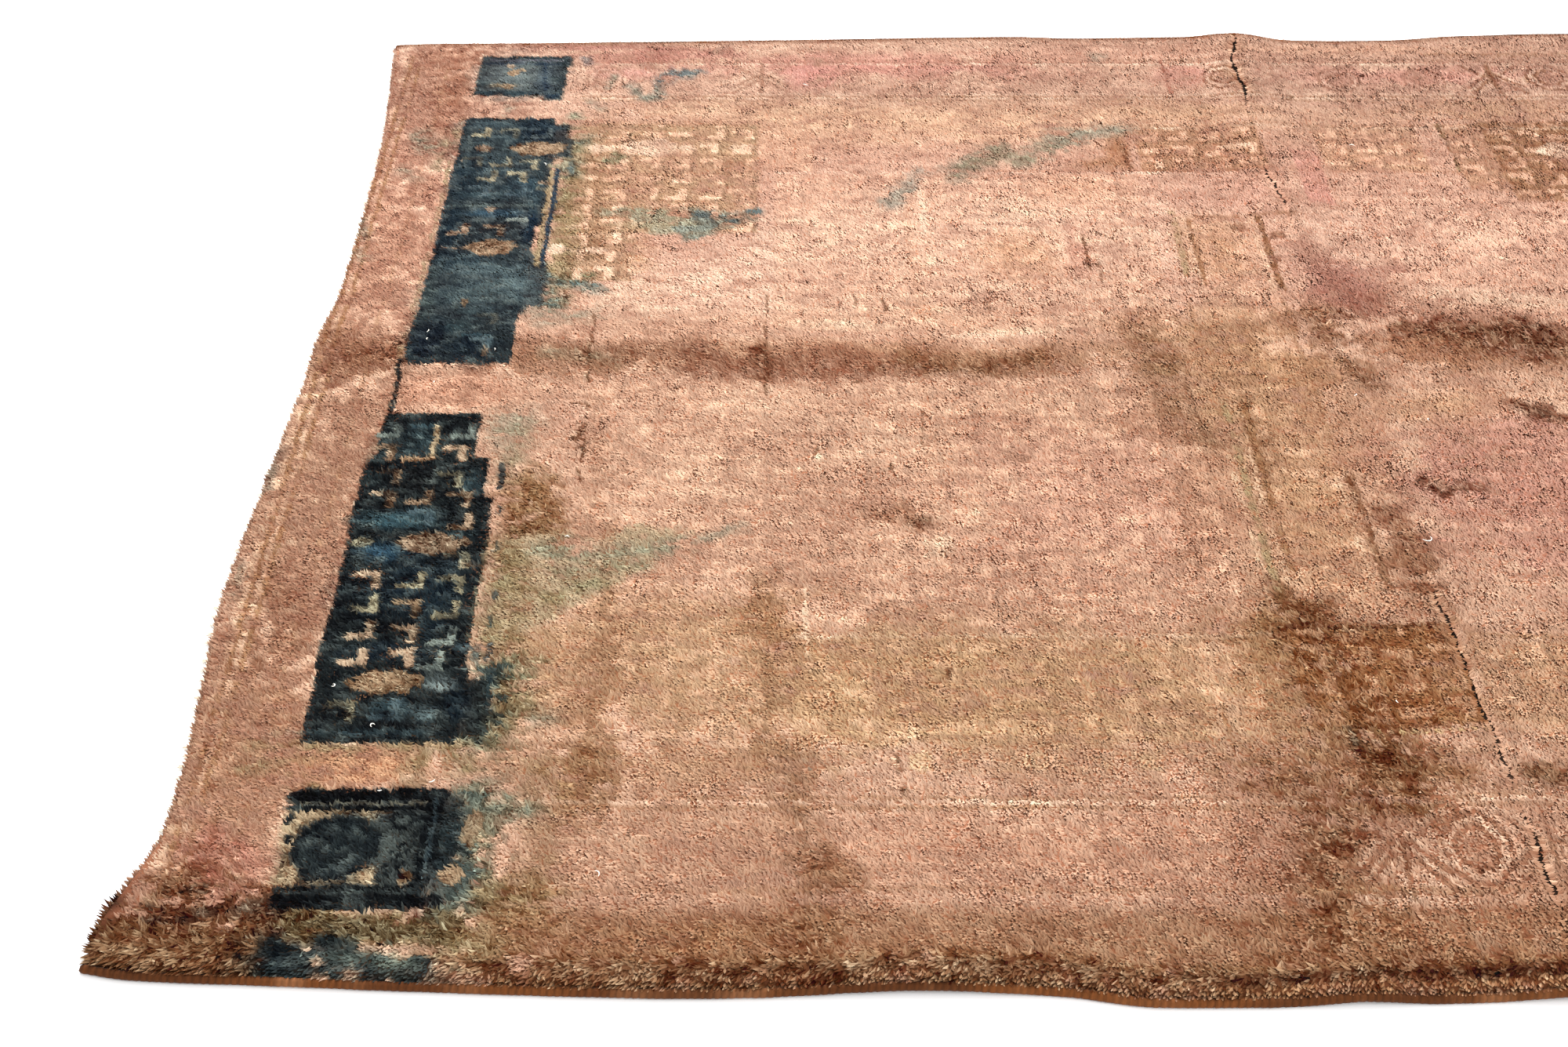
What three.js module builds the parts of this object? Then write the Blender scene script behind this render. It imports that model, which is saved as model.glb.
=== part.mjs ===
// A hand-knotted wool rug lying open on a floor, with the soft folds that storage left in it.
// Millimetres, +Z up. +X runs along the rug's length and +Y from its near to its far long side.
// The origin is the middle of the underside of the whole rug.
import * as THREE from 'three';

// Driving sizes
const LENGTH = 2800; // over the cut warp ends at both short ends
const WIDTH = 2038; // over the overcast cords on both long sides
const PILE_TOP = 14; // underside to the tips of the pile, where the rug lies flat
const RIM_SHARE = 0.55; // height of the pile at the very edge, as a share of PILE_TOP
const RIM_ROUND = 9; // how far inside the edge the pile has its full height
const GAP = 0.3; // between neighbouring pieces
const CORD_WIDE = 10; // the overcast cord along each long side
const CORD_HIGH = 9;
const CORD_SIDES = 8;
const WEB_WIDE = 3.5; // plain web left at each short end
const WEB_THICK = 3;
const STUB_PITCH = 15; // cut warp bundles that stand out of the web
const STUB_WIDE = 4.2;
const STUB_LONG = 7.2;
const STUB_SHORTER = 0.45; // the shortest is this share shorter than the longest
const STUB_UNEVEN = 2.6; // how far a bundle strays from its even place
const STUB_TAPER = 0.7;
const CREASE_X = 12; // where the fold across the rug lies at mid-width
const CREASE_BOW = 25; // how much further right it lies at the two long sides
const RIDGE_Y = 62; // about where the folds along the rug lie
const PARTING_DEPTH = 4.5; // the pile stands apart along the fold across the rug
const PARTING_HALF = 5;
const LUMP = 0.8; // unevenness of the pile
const CROSSING_SHARE = 0.35; // how much of the lower fold shows where two cross
const COARSE_STEP = 58; // usual spacing of the surface points
const SIDE_REACH = 300; // how far inside a wavy side the rows and columns still follow it
const END_REACH = 380;
const STEP_OFFSETS = [-94, -66, -44, -22, 0, 28, 62, 104]; // rows beside the fold along the rug

const X_LEFT = -LENGTH / 2;
const Y_NEAR = -WIDTH / 2;

// How far each side lies inside the box of LENGTH and WIDTH, at stations along it
const NEAR_SIDE = [
  { at: -1400, inset: 43 },
  { at: -1346, inset: 33 },
  { at: -1210, inset: 26 },
  { at: -1040, inset: 18 },
  { at: -809, inset: 11 },
  { at: -631, inset: 16 },
  { at: -542, inset: 16 },
  { at: -454, inset: 13 },
  { at: -367, inset: 0.6 },
  { at: -146, inset: 4 },
  { at: 17, inset: 8 },
  { at: 500, inset: 10 },
  { at: 1000, inset: 6 },
  { at: 1400, inset: 13 },
];
const FAR_SIDE = [
  { at: -1400, inset: 48 },
  { at: -1345, inset: 40 },
  { at: -1115, inset: 35 },
  { at: -720, inset: 24 },
  { at: -323, inset: 12 },
  { at: -245, inset: 18 },
  { at: 40, inset: 12 },
  { at: 150, inset: 26 },
  { at: 309, inset: 24 },
  { at: 400, inset: 11 },
  { at: 604, inset: 0 },
  { at: 900, inset: 6 },
  { at: 1400, inset: 14 },
];
const LEFT_END = [
  { at: -1019, inset: 11 },
  { at: -960, inset: 13 },
  { at: -908, inset: 27 },
  { at: -868, inset: 38 },
  { at: -815, inset: 49 },
  { at: -694, inset: 49 },
  { at: -599, inset: 43 },
  { at: -442, inset: 33 },
  { at: -206, inset: 43 },
  { at: 70, inset: 55 },
  { at: 226, inset: 63 },
  { at: 583, inset: 59 },
  { at: 786, inset: 47 },
  { at: 1019, inset: 29 },
];
const RIGHT_END = [
  { at: -1019, inset: 11 },
  { at: -500, inset: 22 },
  { at: 0, inset: 17 },
  { at: 500, inset: 21 },
  { at: 1019, inset: 15 },
];

// Folds, each a crest from (x1, y1) to (x2, y2). bow moves its middle to the left of that way,
// left and right are the widths of its slopes, and fade1 and fade2 the stretches where it dies out.
const FOLDS = [
  { x1: -1400, y1: 66, x2: -560, y2: 74, bow: 6, high: 12, left: 130, right: 88, fade1: 0, fade2: 220 },
  { x1: -790, y1: 70, x2: -230, y2: 64, bow: -24, high: 9, left: 120, right: 52, fade1: 150, fade2: 110 },
  { x1: -400, y1: -4, x2: -90, y2: -6, bow: -8, high: 4, left: 40, right: 34, fade1: 90, fade2: 60 },
  { x1: 90, y1: 112, x2: 1400, y2: 58, bow: 12, high: 9, left: 120, right: 74, fade1: 130, fade2: 0 },
  { x1: CREASE_X + CREASE_BOW, y1: -1019, x2: CREASE_X + CREASE_BOW, y2: 1019,
    bow: CREASE_BOW, high: 7, left: 84, right: 84, fade1: 0, fade2: 0 },
  { x1: -95, y1: -717, x2: -245, y2: 33, bow: 18, high: 5, left: 74, right: 60, fade1: 100, fade2: 120 },
  { x1: -175, y1: -1019, x2: -92, y2: -640, bow: -12, high: 5, left: 66, right: 62, fade1: 0, fade2: 120 },
  { x1: -590, y1: -1019, x2: -548, y2: -760, bow: 0, high: 5, left: 150, right: 130, fade1: 0, fade2: 200 },
  { x1: 25, y1: -738, x2: 400, y2: -660, bow: 8, high: 4, left: 44, right: 44, fade1: 40, fade2: 150 },
  { x1: 60, y1: -243, x2: 170, y2: -262, bow: -6, high: 4, left: 34, right: 30, fade1: 40, fade2: 40 },
];

// A value that runs smoothly through the rows of a table
function along(table, at) {
  const last = table.length - 1;
  let i = 0;
  while (i < last - 1 && table[i + 1].at < at) i += 1;
  const slope = (k) => {
    const a = table[Math.max(k - 1, 0)];
    const b = table[Math.min(k + 1, last)];
    return (b.inset - a.inset) / (b.at - a.at);
  };
  const a = table[i];
  const b = table[i + 1];
  const wide = b.at - a.at;
  const t = THREE.MathUtils.clamp((at - a.at) / wide, 0, 1);
  const t2 = t * t;
  const t3 = t2 * t;
  return (2 * t3 - 3 * t2 + 1) * a.inset + (3 * t2 - 2 * t3) * b.inset
    + wide * ((t3 - 2 * t2 + t) * slope(i) + (t3 - t2) * slope(i + 1));
}

// The pile's edge on each side, where the cords and webs lie outside it
const nearEdge = (x) => Y_NEAR + along(NEAR_SIDE, x) + CORD_WIDE + GAP;
const farEdge = (x) => -Y_NEAR - along(FAR_SIDE, x) - CORD_WIDE - GAP;
const leftEdge = (y) => X_LEFT + along(LEFT_END, y);
const rightEdge = (y) => -X_LEFT - along(RIGHT_END, y);

function smoothRise(t) {
  const u = THREE.MathUtils.clamp(t, 0, 1);
  return u * u * (3 - 2 * u);
}

// How high one fold lifts the cloth at a point
function foldAt(fold, x, y) {
  const dx = fold.x2 - fold.x1;
  const dy = fold.y2 - fold.y1;
  const long = Math.hypot(dx, dy);
  const way = ((x - fold.x1) * dx + (y - fold.y1) * dy) / long;
  const share = THREE.MathUtils.clamp(way / long, 0, 1);
  const side = ((y - fold.y1) * dx - (x - fold.x1) * dy) / long - fold.bow * 4 * share * (1 - share);
  const reach = side > 0 ? fold.left : fold.right;
  const across = 1 - (side / reach) ** 2;
  if (across <= 0) return 0;
  const start = fold.fade1 > 0 ? smoothRise(way / fold.fade1) : 1;
  const end = fold.fade2 > 0 ? smoothRise((long - way) / fold.fade2) : 1;
  return fold.high * across * across * start * end;
}

// Folds that cross don't pile up: the higher one carries the lower
function lift(x, y) {
  let total = 0;
  let top = 0;
  for (const fold of FOLDS) {
    const high = foldAt(fold, x, y);
    total += high;
    top = Math.max(top, high);
  }
  return top + CROSSING_SHARE * (total - top);
}

// Waves of uneven lengths, so that the lumps don't repeat
function lumps(x, y) {
  const broad = Math.sin(x / 71 + 1.3 * Math.sin(y / 113)) * Math.cos(y / 83 + 0.9 * Math.sin(x / 157));
  const small = Math.sin(x / 29 + y / 47 + 2.1) * Math.cos(y / 31 - x / 61);
  return LUMP * (0.65 * broad + 0.35 * small);
}

// Stations from one side to the other: close at the rims and near a fold, and even elsewhere
function stations(half, fold, offsets) {
  const fine = offsets.map((d) => fold + d);
  const rows = [-half, -half + RIM_ROUND];
  const fill = (from, to) => {
    const count = Math.max(1, Math.round((to - from) / COARSE_STEP));
    for (let i = 1; i < count; i += 1) rows.push(from + ((to - from) * i) / count);
  };
  fill(-half + RIM_ROUND, fine[0]);
  rows.push(...fine);
  fill(fine[fine.length - 1], half - RIM_ROUND);
  rows.push(half - RIM_ROUND, half);
  return rows;
}

const COLUMNS = stations(LENGTH / 2, CREASE_X, [-60, -30, -PARTING_HALF, 0, PARTING_HALF, 30, 60]);
const ROWS = stations(WIDTH / 2, RIDGE_Y, STEP_OFFSETS);

// 1 on a line, falling to 0 at a distance from it
const near = (distance, reach) => Math.max(0, 1 - Math.abs(distance) / reach);

// The columns lean with the two ends and follow the fold across, and the rows do with the sides
function spot(x0, y0) {
  const bend = CREASE_BOW * (y0 / Y_NEAR) ** 2;
  const x = x0
    + (leftEdge(y0) - X_LEFT) * near(x0 - X_LEFT, END_REACH)
    + (rightEdge(y0) + X_LEFT) * near(x0 + X_LEFT, END_REACH)
    + bend * near(x0 - CREASE_X, SIDE_REACH);
  const y = y0
    + (nearEdge(x0) - Y_NEAR) * near(y0 - Y_NEAR, SIDE_REACH)
    + (farEdge(x0) + Y_NEAR) * near(y0 + Y_NEAR, SIDE_REACH);
  return [x, y];
}

function meshOf(name, points, faces, material) {
  const geometry = new THREE.BufferGeometry();
  geometry.setAttribute('position', new THREE.Float32BufferAttribute(points.flat(), 3));
  geometry.setIndex(faces.flat());
  geometry.computeVertexNormals();
  const mesh = new THREE.Mesh(geometry, material);
  mesh.name = name;
  return mesh;
}

// Triangles between two lines of point numbers that start and end side by side
function strip(upper, lower, points) {
  const share = (line, k) => {
    const a = points[line[0]];
    const b = points[line[line.length - 1]];
    const c = points[line[k]];
    return Math.hypot(c[0] - a[0], c[1] - a[1]) / Math.hypot(b[0] - a[0], b[1] - a[1]);
  };
  const faces = [];
  let i = 0;
  let j = 0;
  while (i < upper.length - 1 || j < lower.length - 1) {
    const lowerDone = j === lower.length - 1;
    const upperNext = i < upper.length - 1 && (lowerDone || share(upper, i + 1) <= share(lower, j + 1));
    if (upperNext) {
      faces.push([upper[i], lower[j], upper[i + 1]]);
      i += 1;
    } else {
      faces.push([upper[i], lower[j], lower[j + 1]]);
      j += 1;
    }
  }
  return faces;
}

// A grid of surface points, its faces, and its border from one corner round to the next
function skin(columns, rows, height, up, points) {
  const first = points.length;
  const at = (i, j) => first + j * columns.length + i;
  for (const y0 of rows) {
    for (const x0 of columns) {
      const [x, y] = spot(x0, y0);
      points.push([x, y, height(x, y, x0, y0)]);
    }
  }
  const faces = [];
  for (let j = 0; j < rows.length - 1; j += 1) {
    for (let i = 0; i < columns.length - 1; i += 1) {
      const quad = [at(i, j), at(i + 1, j), at(i + 1, j + 1), at(i, j + 1)];
      const [a, b, c, d] = up ? quad : quad.reverse();
      faces.push([a, b, c], [a, c, d]);
    }
  }
  const border = {
    near: columns.map((_, i) => at(i, 0)),
    right: rows.map((_, j) => at(columns.length - 1, j)),
    far: columns.map((_, i) => at(i, rows.length - 1)).reverse(),
    left: rows.map((_, j) => at(0, j)).reverse(),
  };
  return { faces, border };
}

function pileHeight(x, y, x0, y0) {
  const atRim = Math.abs(x0) === LENGTH / 2 || Math.abs(y0) === WIDTH / 2;
  const full = atRim ? PILE_TOP * RIM_SHARE : PILE_TOP + lumps(x, y);
  const parted = x0 === CREASE_X ? PARTING_DEPTH * (0.8 + 0.2 * Math.sin(y / 37)) : 0;
  return lift(x, y) + full - parted;
}

// The knotted cloth with its pile: a fine upper skin, a coarser underside and the rim between them
function knottedCloth(material) {
  const points = [];
  const inside = (list) => {
    const within = list.slice(1, -1);
    return within.filter((_, k) => k % 2 === 0 || k === within.length - 1);
  };
  const top = skin(COLUMNS, ROWS, pileHeight, true, points);
  const base = skin(inside(COLUMNS), inside(ROWS), lift, false, points);
  const faces = [...top.faces, ...base.faces];
  const foot = new Map();
  const footOf = (k) => {
    if (!foot.has(k)) {
      const [x, y] = points[k];
      foot.set(k, points.length);
      points.push([x, y, lift(x, y)]);
    }
    return foot.get(k);
  };
  for (const side of ['near', 'right', 'far', 'left']) {
    const upper = top.border[side];
    const lower = upper.map(footOf);
    faces.push(...strip(upper, lower, points), ...strip(lower, base.border[side], points));
  }
  return meshOf('knotted_cloth', points, faces, material);
}

// The cloth's rim on each side, which the cords and webs follow at an even distance
const RIM = {
  near: COLUMNS.map((x0) => spot(x0, Y_NEAR)),
  far: COLUMNS.map((x0) => spot(x0, -Y_NEAR)),
  left: ROWS.map((y0) => spot(X_LEFT, y0)),
  right: ROWS.map((y0) => spot(-X_LEFT, y0)),
};

// An overcast cord outside one long side, with a flat underside
function sideCord(name, rim, out, material) {
  const overhang = GAP + WEB_WIDE;
  const [firstX, firstY] = rim[0];
  const [lastX, lastY] = rim[rim.length - 1];
  const way = [[firstX - overhang, firstY], ...rim, [lastX + overhang, lastY]];
  const points = [];
  for (const [x, rimY] of way) {
    const centre = rimY + out * (GAP + CORD_WIDE / 2);
    for (let n = 0; n < CORD_SIDES; n += 1) {
      const angle = ((n + 0.5) / CORD_SIDES) * Math.PI * 2;
      const reach = 0.5 / Math.cos(Math.PI / CORD_SIDES);
      const y = centre + CORD_WIDE * reach * Math.cos(angle);
      const z = CORD_HIGH * (0.5 + reach * Math.sin(angle));
      points.push([x, y, z + lift(x, centre)]);
    }
  }
  const at = (k, n) => k * CORD_SIDES + (n % CORD_SIDES);
  const last = way.length - 1;
  const faces = [];
  for (let k = 0; k < last; k += 1) {
    for (let n = 0; n < CORD_SIDES; n += 1) {
      faces.push([at(k, n), at(k, n + 1), at(k + 1, n + 1)]);
      faces.push([at(k, n), at(k + 1, n + 1), at(k + 1, n)]);
    }
  }
  for (let n = 1; n < CORD_SIDES - 1; n += 1) {
    faces.push([at(0, 0), at(0, n + 1), at(0, n)]);
    faces.push([at(last, 0), at(last, n), at(last, n + 1)]);
  }
  return meshOf(name, points, faces, material);
}

// An even scatter between 0 and 1 that is the same each time
const scatter = (k) => {
  const wave = Math.sin(k * 12.9898 + 4.1) * 43758.5453;
  return wave - Math.floor(wave);
};

// The web beyond the last row of knots, with the cut warp bundles that stand out of it
function endWeb(name, rim, out, material) {
  const rimAt = (y) => {
    const k = Math.max(1, rim.findIndex((p) => p[1] >= y));
    const [x1, y1] = rim[k - 1];
    const [x2, y2] = rim[k];
    return x1 + ((x2 - x1) * (y - y1)) / (y2 - y1);
  };
  const inner = (y) => rimAt(y) + out * GAP;
  const outer = (y) => inner(y) + out * WEB_WIDE;
  const from = rim[0][1];
  const to = rim[rim.length - 1][1];
  const shape = new THREE.Shape();
  shape.moveTo(inner(from), from);
  shape.lineTo(outer(from), from);
  const count = Math.floor((to - from - STUB_WIDE) / STUB_PITCH);
  for (let k = 0; k < count; k += 1) {
    const middle = from + (k + 0.5) * STUB_PITCH + STUB_UNEVEN * (scatter(k) - 0.5);
    const long = STUB_LONG * (k === 0 ? 1 : 1 - STUB_SHORTER * scatter(k + 500));
    const lean = STUB_UNEVEN * (scatter(k + 900) - 0.5);
    const a = middle - STUB_WIDE / 2;
    const b = middle + STUB_WIDE / 2;
    shape.lineTo(outer(a), a);
    shape.lineTo(outer(a) + out * long, a + STUB_TAPER + lean);
    shape.lineTo(outer(a) + out * long, b - STUB_TAPER + lean);
    shape.lineTo(outer(b), b);
  }
  shape.lineTo(outer(to), to);
  for (const [x, y] of [...rim].reverse().slice(0, -1)) {
    shape.lineTo(x + out * GAP, y);
  }
  const geometry = new THREE.ExtrudeGeometry(shape, { depth: WEB_THICK, bevelEnabled: false });
  const place = geometry.getAttribute('position');
  for (let k = 0; k < place.count; k += 1) {
    const y = THREE.MathUtils.clamp(place.getY(k), from, to);
    place.setZ(k, place.getZ(k) + lift(rimAt(y), y));
  }
  geometry.computeVertexNormals();
  const mesh = new THREE.Mesh(geometry, material);
  mesh.name = name;
  return mesh;
}

const woolPile = new THREE.MeshStandardMaterial({ color: 0xc9967a, roughness: 0.95, metalness: 0 });
const woolCord = new THREE.MeshStandardMaterial({ color: 0x7a4f38, roughness: 0.95, metalness: 0 });
const cottonWarp = new THREE.MeshStandardMaterial({ color: 0xe4ddcd, roughness: 0.9, metalness: 0 });

const rug = new THREE.Group();
rug.name = 'persian_rug';
rug.add(
  knottedCloth(woolPile),
  sideCord('near_side_cord', RIM.near, -1, woolCord),
  sideCord('far_side_cord', RIM.far, 1, woolCord),
  endWeb('left_end_web', RIM.left, -1, cottonWarp),
  endWeb('right_end_web', RIM.right, 1, cottonWarp),
);

export default rug;
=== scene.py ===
# %% [markdown]
# # A worn, overdyed Persian rug
#
# This lesson dresses a plain model of a hand-knotted rug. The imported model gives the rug's size, its
# outline and its folds. Here it gets what makes it wool: a pile of separate tufts, each with the dye of
# its own knot, yarn wrapped round the side cords, and cut cotton warps at the short ends.
#
# All sizes are metres. +X runs along the rug, +Y across it, +Z up, and the floor is at Z = 0.

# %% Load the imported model
import math

import bpy
import numpy as np
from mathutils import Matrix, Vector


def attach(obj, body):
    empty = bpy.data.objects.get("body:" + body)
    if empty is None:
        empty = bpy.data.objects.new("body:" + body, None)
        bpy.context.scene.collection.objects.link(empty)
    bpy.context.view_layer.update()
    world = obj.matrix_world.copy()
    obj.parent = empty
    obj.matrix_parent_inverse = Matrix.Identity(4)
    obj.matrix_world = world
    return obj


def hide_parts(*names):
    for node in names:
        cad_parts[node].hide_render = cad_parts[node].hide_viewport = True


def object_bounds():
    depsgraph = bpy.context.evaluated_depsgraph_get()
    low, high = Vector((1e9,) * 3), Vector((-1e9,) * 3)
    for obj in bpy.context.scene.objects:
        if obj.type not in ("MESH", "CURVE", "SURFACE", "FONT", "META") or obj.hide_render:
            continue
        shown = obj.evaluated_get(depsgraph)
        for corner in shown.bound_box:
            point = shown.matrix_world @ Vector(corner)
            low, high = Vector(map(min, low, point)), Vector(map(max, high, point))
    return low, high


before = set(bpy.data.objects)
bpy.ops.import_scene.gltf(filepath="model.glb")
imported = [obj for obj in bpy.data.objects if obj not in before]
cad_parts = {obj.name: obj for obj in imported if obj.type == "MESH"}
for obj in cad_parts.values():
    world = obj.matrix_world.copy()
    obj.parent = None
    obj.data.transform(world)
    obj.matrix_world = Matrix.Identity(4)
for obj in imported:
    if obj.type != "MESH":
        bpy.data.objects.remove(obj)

cad_box = [[float(v) for v in corner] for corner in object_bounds()]
low, high = cad_box
LENGTH = high[0] - low[0]
WIDTH = high[1] - low[1]
print("CAD box", cad_box)

# %% [markdown]
# ## Camera
#
# The photographer stood near the left end, about eye height above the rug, and looked down at it.
# The vanishing point of the rug's cross lines gives the tilt, and the squash of the round motif
# gives the lens. The camera comes first, because every later choice is judged through it.

# %% Camera
CAMERA_PLACE = (-0.720, -2.250, 1.585)
CAMERA_DOWN = math.radians(39.0)
CAMERA_LENS = 47.8

camera = bpy.data.objects.new("camera", bpy.data.cameras.new("camera"))
camera.data.lens = CAMERA_LENS
camera.data.sensor_width = 36.0
camera.location = CAMERA_PLACE
camera.rotation_euler = (math.pi / 2 - CAMERA_DOWN, 0.0, 0.0)
bpy.context.scene.collection.objects.link(camera)
bpy.context.scene.camera = camera

# %% [markdown]
# ## Floor and light
#
# The floor is plain and pale. One broad light stands beyond the far side and rakes over the pile, so that
# slopes that face the camera are a little darker, as they are in the photo. A second, weaker one and a
# pale sky fill the shadows. Standard colour keeps the dyes as they are mixed.

# %% Floor and lights
FLOOR_HALF = 40.0
FLOOR_DROP = 0.0004
FLOOR_GREY = 0.9
FLOOR_ROUGHNESS = 0.9
SKY_STRENGTH = 1.15
# Name, place, size, watts; both look at the middle of the rug
LIGHTS = [
    ("far light", (-1.2, 6.0, 5.4), (4.5, 2.4), 1080.0),
    ("near light", (1.5, -3.2, 3.6), (2.5, 2.5), 115.0),
]


floor_mesh = bpy.data.meshes.new("floor")
h = FLOOR_HALF
floor_mesh.from_pydata([(-h, -h, 0), (h, -h, 0), (h, h, 0), (-h, h, 0)], [], [(0, 1, 2, 3)])
floor = bpy.data.objects.new("floor", floor_mesh)
floor.location.z = -FLOOR_DROP
pale = bpy.data.materials.new("pale floor")
pale.use_nodes = True
pale_shader = pale.node_tree.nodes["Principled BSDF"]
pale_shader.inputs["Base Color"].default_value = (FLOOR_GREY, FLOOR_GREY, FLOOR_GREY, 1.0)
pale_shader.inputs["Roughness"].default_value = FLOOR_ROUGHNESS
floor_mesh.materials.append(pale)
bpy.context.scene.collection.objects.link(floor)


for name, place, size, watts in LIGHTS:
    light = bpy.data.objects.new(name, bpy.data.lights.new(name, "AREA"))
    light.data.shape = "RECTANGLE"
    light.data.size, light.data.size_y = size
    light.data.energy = watts
    x, y, z = place
    light.location = place
    light.rotation_euler = (math.atan2(math.hypot(x, y), z), 0.0, math.atan2(y, x) + math.pi / 2)
    bpy.context.scene.collection.objects.link(light)

world = bpy.data.worlds.new("pale sky")
world.use_nodes = True
sky = world.node_tree.nodes["Background"]
sky.inputs["Color"].default_value = (1.0, 1.0, 1.0, 1.0)
sky.inputs["Strength"].default_value = SKY_STRENGTH
bpy.context.scene.world = world
bpy.context.scene.view_settings.view_transform = "Standard"

# %% [markdown]
# ## The rug's own shape
#
# A rug this old is never a true rectangle. Each side wanders, and folds from storage lift the cloth.
# The same tables that shaped the solids are repeated here as smooth functions, in place of reading
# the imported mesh, because the tufts need heights between its points. Tables are in millimetres.

# %% Sides that wander
MM = 0.001
CORD_WIDE = 10 * MM
CORD_HIGH = 9 * MM
GAP = 0.3 * MM
WEB_WIDE = 3.5 * MM
PILE_TOP = 14 * MM
CREASE_X = 12 * MM
CREASE_BOW = 25 * MM
SIDE_REACH = 0.300
END_REACH = 0.380
CROSSING_SHARE = 0.35

# Station along the side, and how far the side lies inside the box there
NEAR_SIDE = [
    (-1400, 43), (-1346, 33), (-1210, 26), (-1040, 18), (-809, 11), (-631, 16), (-542, 16),
    (-454, 13), (-367, 0.6), (-146, 4), (17, 8), (500, 10), (1000, 6), (1400, 13),
]
FAR_SIDE = [
    (-1400, 48), (-1345, 40), (-1115, 35), (-720, 24), (-323, 12), (-245, 18), (40, 12),
    (150, 26), (309, 24), (400, 11), (604, 0), (900, 6), (1400, 14),
]
LEFT_END = [
    (-1019, 11), (-960, 13), (-908, 27), (-868, 38), (-815, 49), (-694, 49), (-599, 43),
    (-442, 33), (-206, 43), (70, 55), (226, 63), (583, 59), (786, 47), (1019, 29),
]
RIGHT_END = [(-1019, 11), (-500, 22), (0, 17), (500, 21), (1019, 15)]


def along(table, at):
    """A value in metres that runs smoothly through the rows of a table."""
    rows = np.array(table, float) * MM
    x, v = rows[:, 0], rows[:, 1]
    before = np.maximum(np.arange(len(x)) - 1, 0)
    after = np.minimum(np.arange(len(x)) + 1, len(x) - 1)
    slope = (v[after] - v[before]) / (x[after] - x[before])
    at = np.clip(at, x[0], x[-1])
    i = np.clip(np.searchsorted(x, at) - 1, 0, len(x) - 2)
    wide = x[i + 1] - x[i]
    t = (at - x[i]) / wide
    t2, t3 = t * t, t * t * t
    held = (2 * t3 - 3 * t2 + 1) * v[i] + (3 * t2 - 2 * t3) * v[i + 1]
    return held + wide * ((t3 - 2 * t2 + t) * slope[i] + (t3 - t2) * slope[i + 1])


def near_edge(x):
    return -WIDTH / 2 + along(NEAR_SIDE, x) + CORD_WIDE + GAP


def far_edge(x):
    return WIDTH / 2 - along(FAR_SIDE, x) - CORD_WIDE - GAP


def left_edge(y):
    return -LENGTH / 2 + along(LEFT_END, y)


def right_edge(y):
    return LENGTH / 2 - along(RIGHT_END, y)


def beside(distance, reach):
    return np.maximum(0.0, 1.0 - np.abs(distance) / reach)


def spot(x0, y0):
    """Where a point of the plain rectangle lies on the rug: rows and columns lean with its sides."""
    half_l, half_w = LENGTH / 2, WIDTH / 2
    x = x0 + (left_edge(y0) + half_l) * beside(x0 + half_l, END_REACH)
    x = x + (right_edge(y0) - half_l) * beside(x0 - half_l, END_REACH)
    x = x + CREASE_BOW * (y0 / half_w) ** 2 * beside(x0 - CREASE_X, SIDE_REACH)
    y = y0 + (near_edge(x0) + half_w) * beside(y0 + half_w, SIDE_REACH)
    y = y + (far_edge(x0) - half_w) * beside(y0 - half_w, SIDE_REACH)
    return x, y


# %% Folds that lift the cloth
# Each row: from x, y to x, y, sideways bow, height, width on its left and right, fade at each end
FOLDS = [
    (-1400, 66, -560, 74, 6, 12, 130, 88, 0, 220),
    (-790, 70, -230, 64, -24, 9, 120, 52, 150, 110),
    (-400, -4, -90, -6, -8, 4, 40, 34, 90, 60),
    (90, 112, 1400, 58, 12, 9, 120, 74, 130, 0),
    (37, -1019, 37, 1019, 25, 7, 84, 84, 0, 0),
    (-95, -717, -245, 33, 18, 5, 74, 60, 100, 120),
    (-175, -1019, -92, -640, -12, 5, 66, 62, 0, 120),
    (-590, -1019, -548, -760, 0, 5, 150, 130, 0, 200),
    (25, -738, 400, -660, 8, 4, 44, 44, 40, 150),
    (60, -243, 170, -262, -6, 4, 34, 30, 40, 40),
]


def smooth_rise(t):
    u = np.clip(t, 0.0, 1.0)
    return u * u * (3.0 - 2.0 * u)


def lift(x, y):
    """How high the folds lift the cloth's underside off the floor."""
    total = np.zeros(np.shape(x))
    top = np.zeros(np.shape(x))
    for row in FOLDS:
        x1, y1, x2, y2, bow, tall, wide_l, wide_r, fade1, fade2 = (v * MM for v in row)
        dx, dy = x2 - x1, y2 - y1
        long = math.hypot(dx, dy)
        way = ((x - x1) * dx + (y - y1) * dy) / long
        share = np.clip(way / long, 0.0, 1.0)
        side = ((y - y1) * dx - (x - x1) * dy) / long - bow * 4 * share * (1 - share)
        across = np.maximum(0.0, 1 - (side / np.where(side > 0, wide_l, wide_r)) ** 2)
        start = smooth_rise(way / fade1) if fade1 else 1.0
        end = smooth_rise((long - way) / fade2) if fade2 else 1.0
        fold = tall * across * across * start * end
        total += fold
        top = np.maximum(top, fold)
    return top + CROSSING_SHARE * (total - top)


sample = np.meshgrid(np.linspace(-1.4, 1.4, 400), np.linspace(-1, 1, 300))
print("highest fold", round(float(lift(*sample).max()), 4))

# %% [markdown]
# ## Uneven things
#
# Wool, dye and wear are all uneven, at many sizes. One smooth random field serves them all: random
# values on a grid of cells, blended between, and added up at halved sizes. It is seeded, so the
# rug comes out the same every time.

# %% A smooth random field
FIELD_GRID = 256
FIELD_GAIN = 1.6
SHIFT_U, SHIFT_V = 17.3, 31.7


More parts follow.
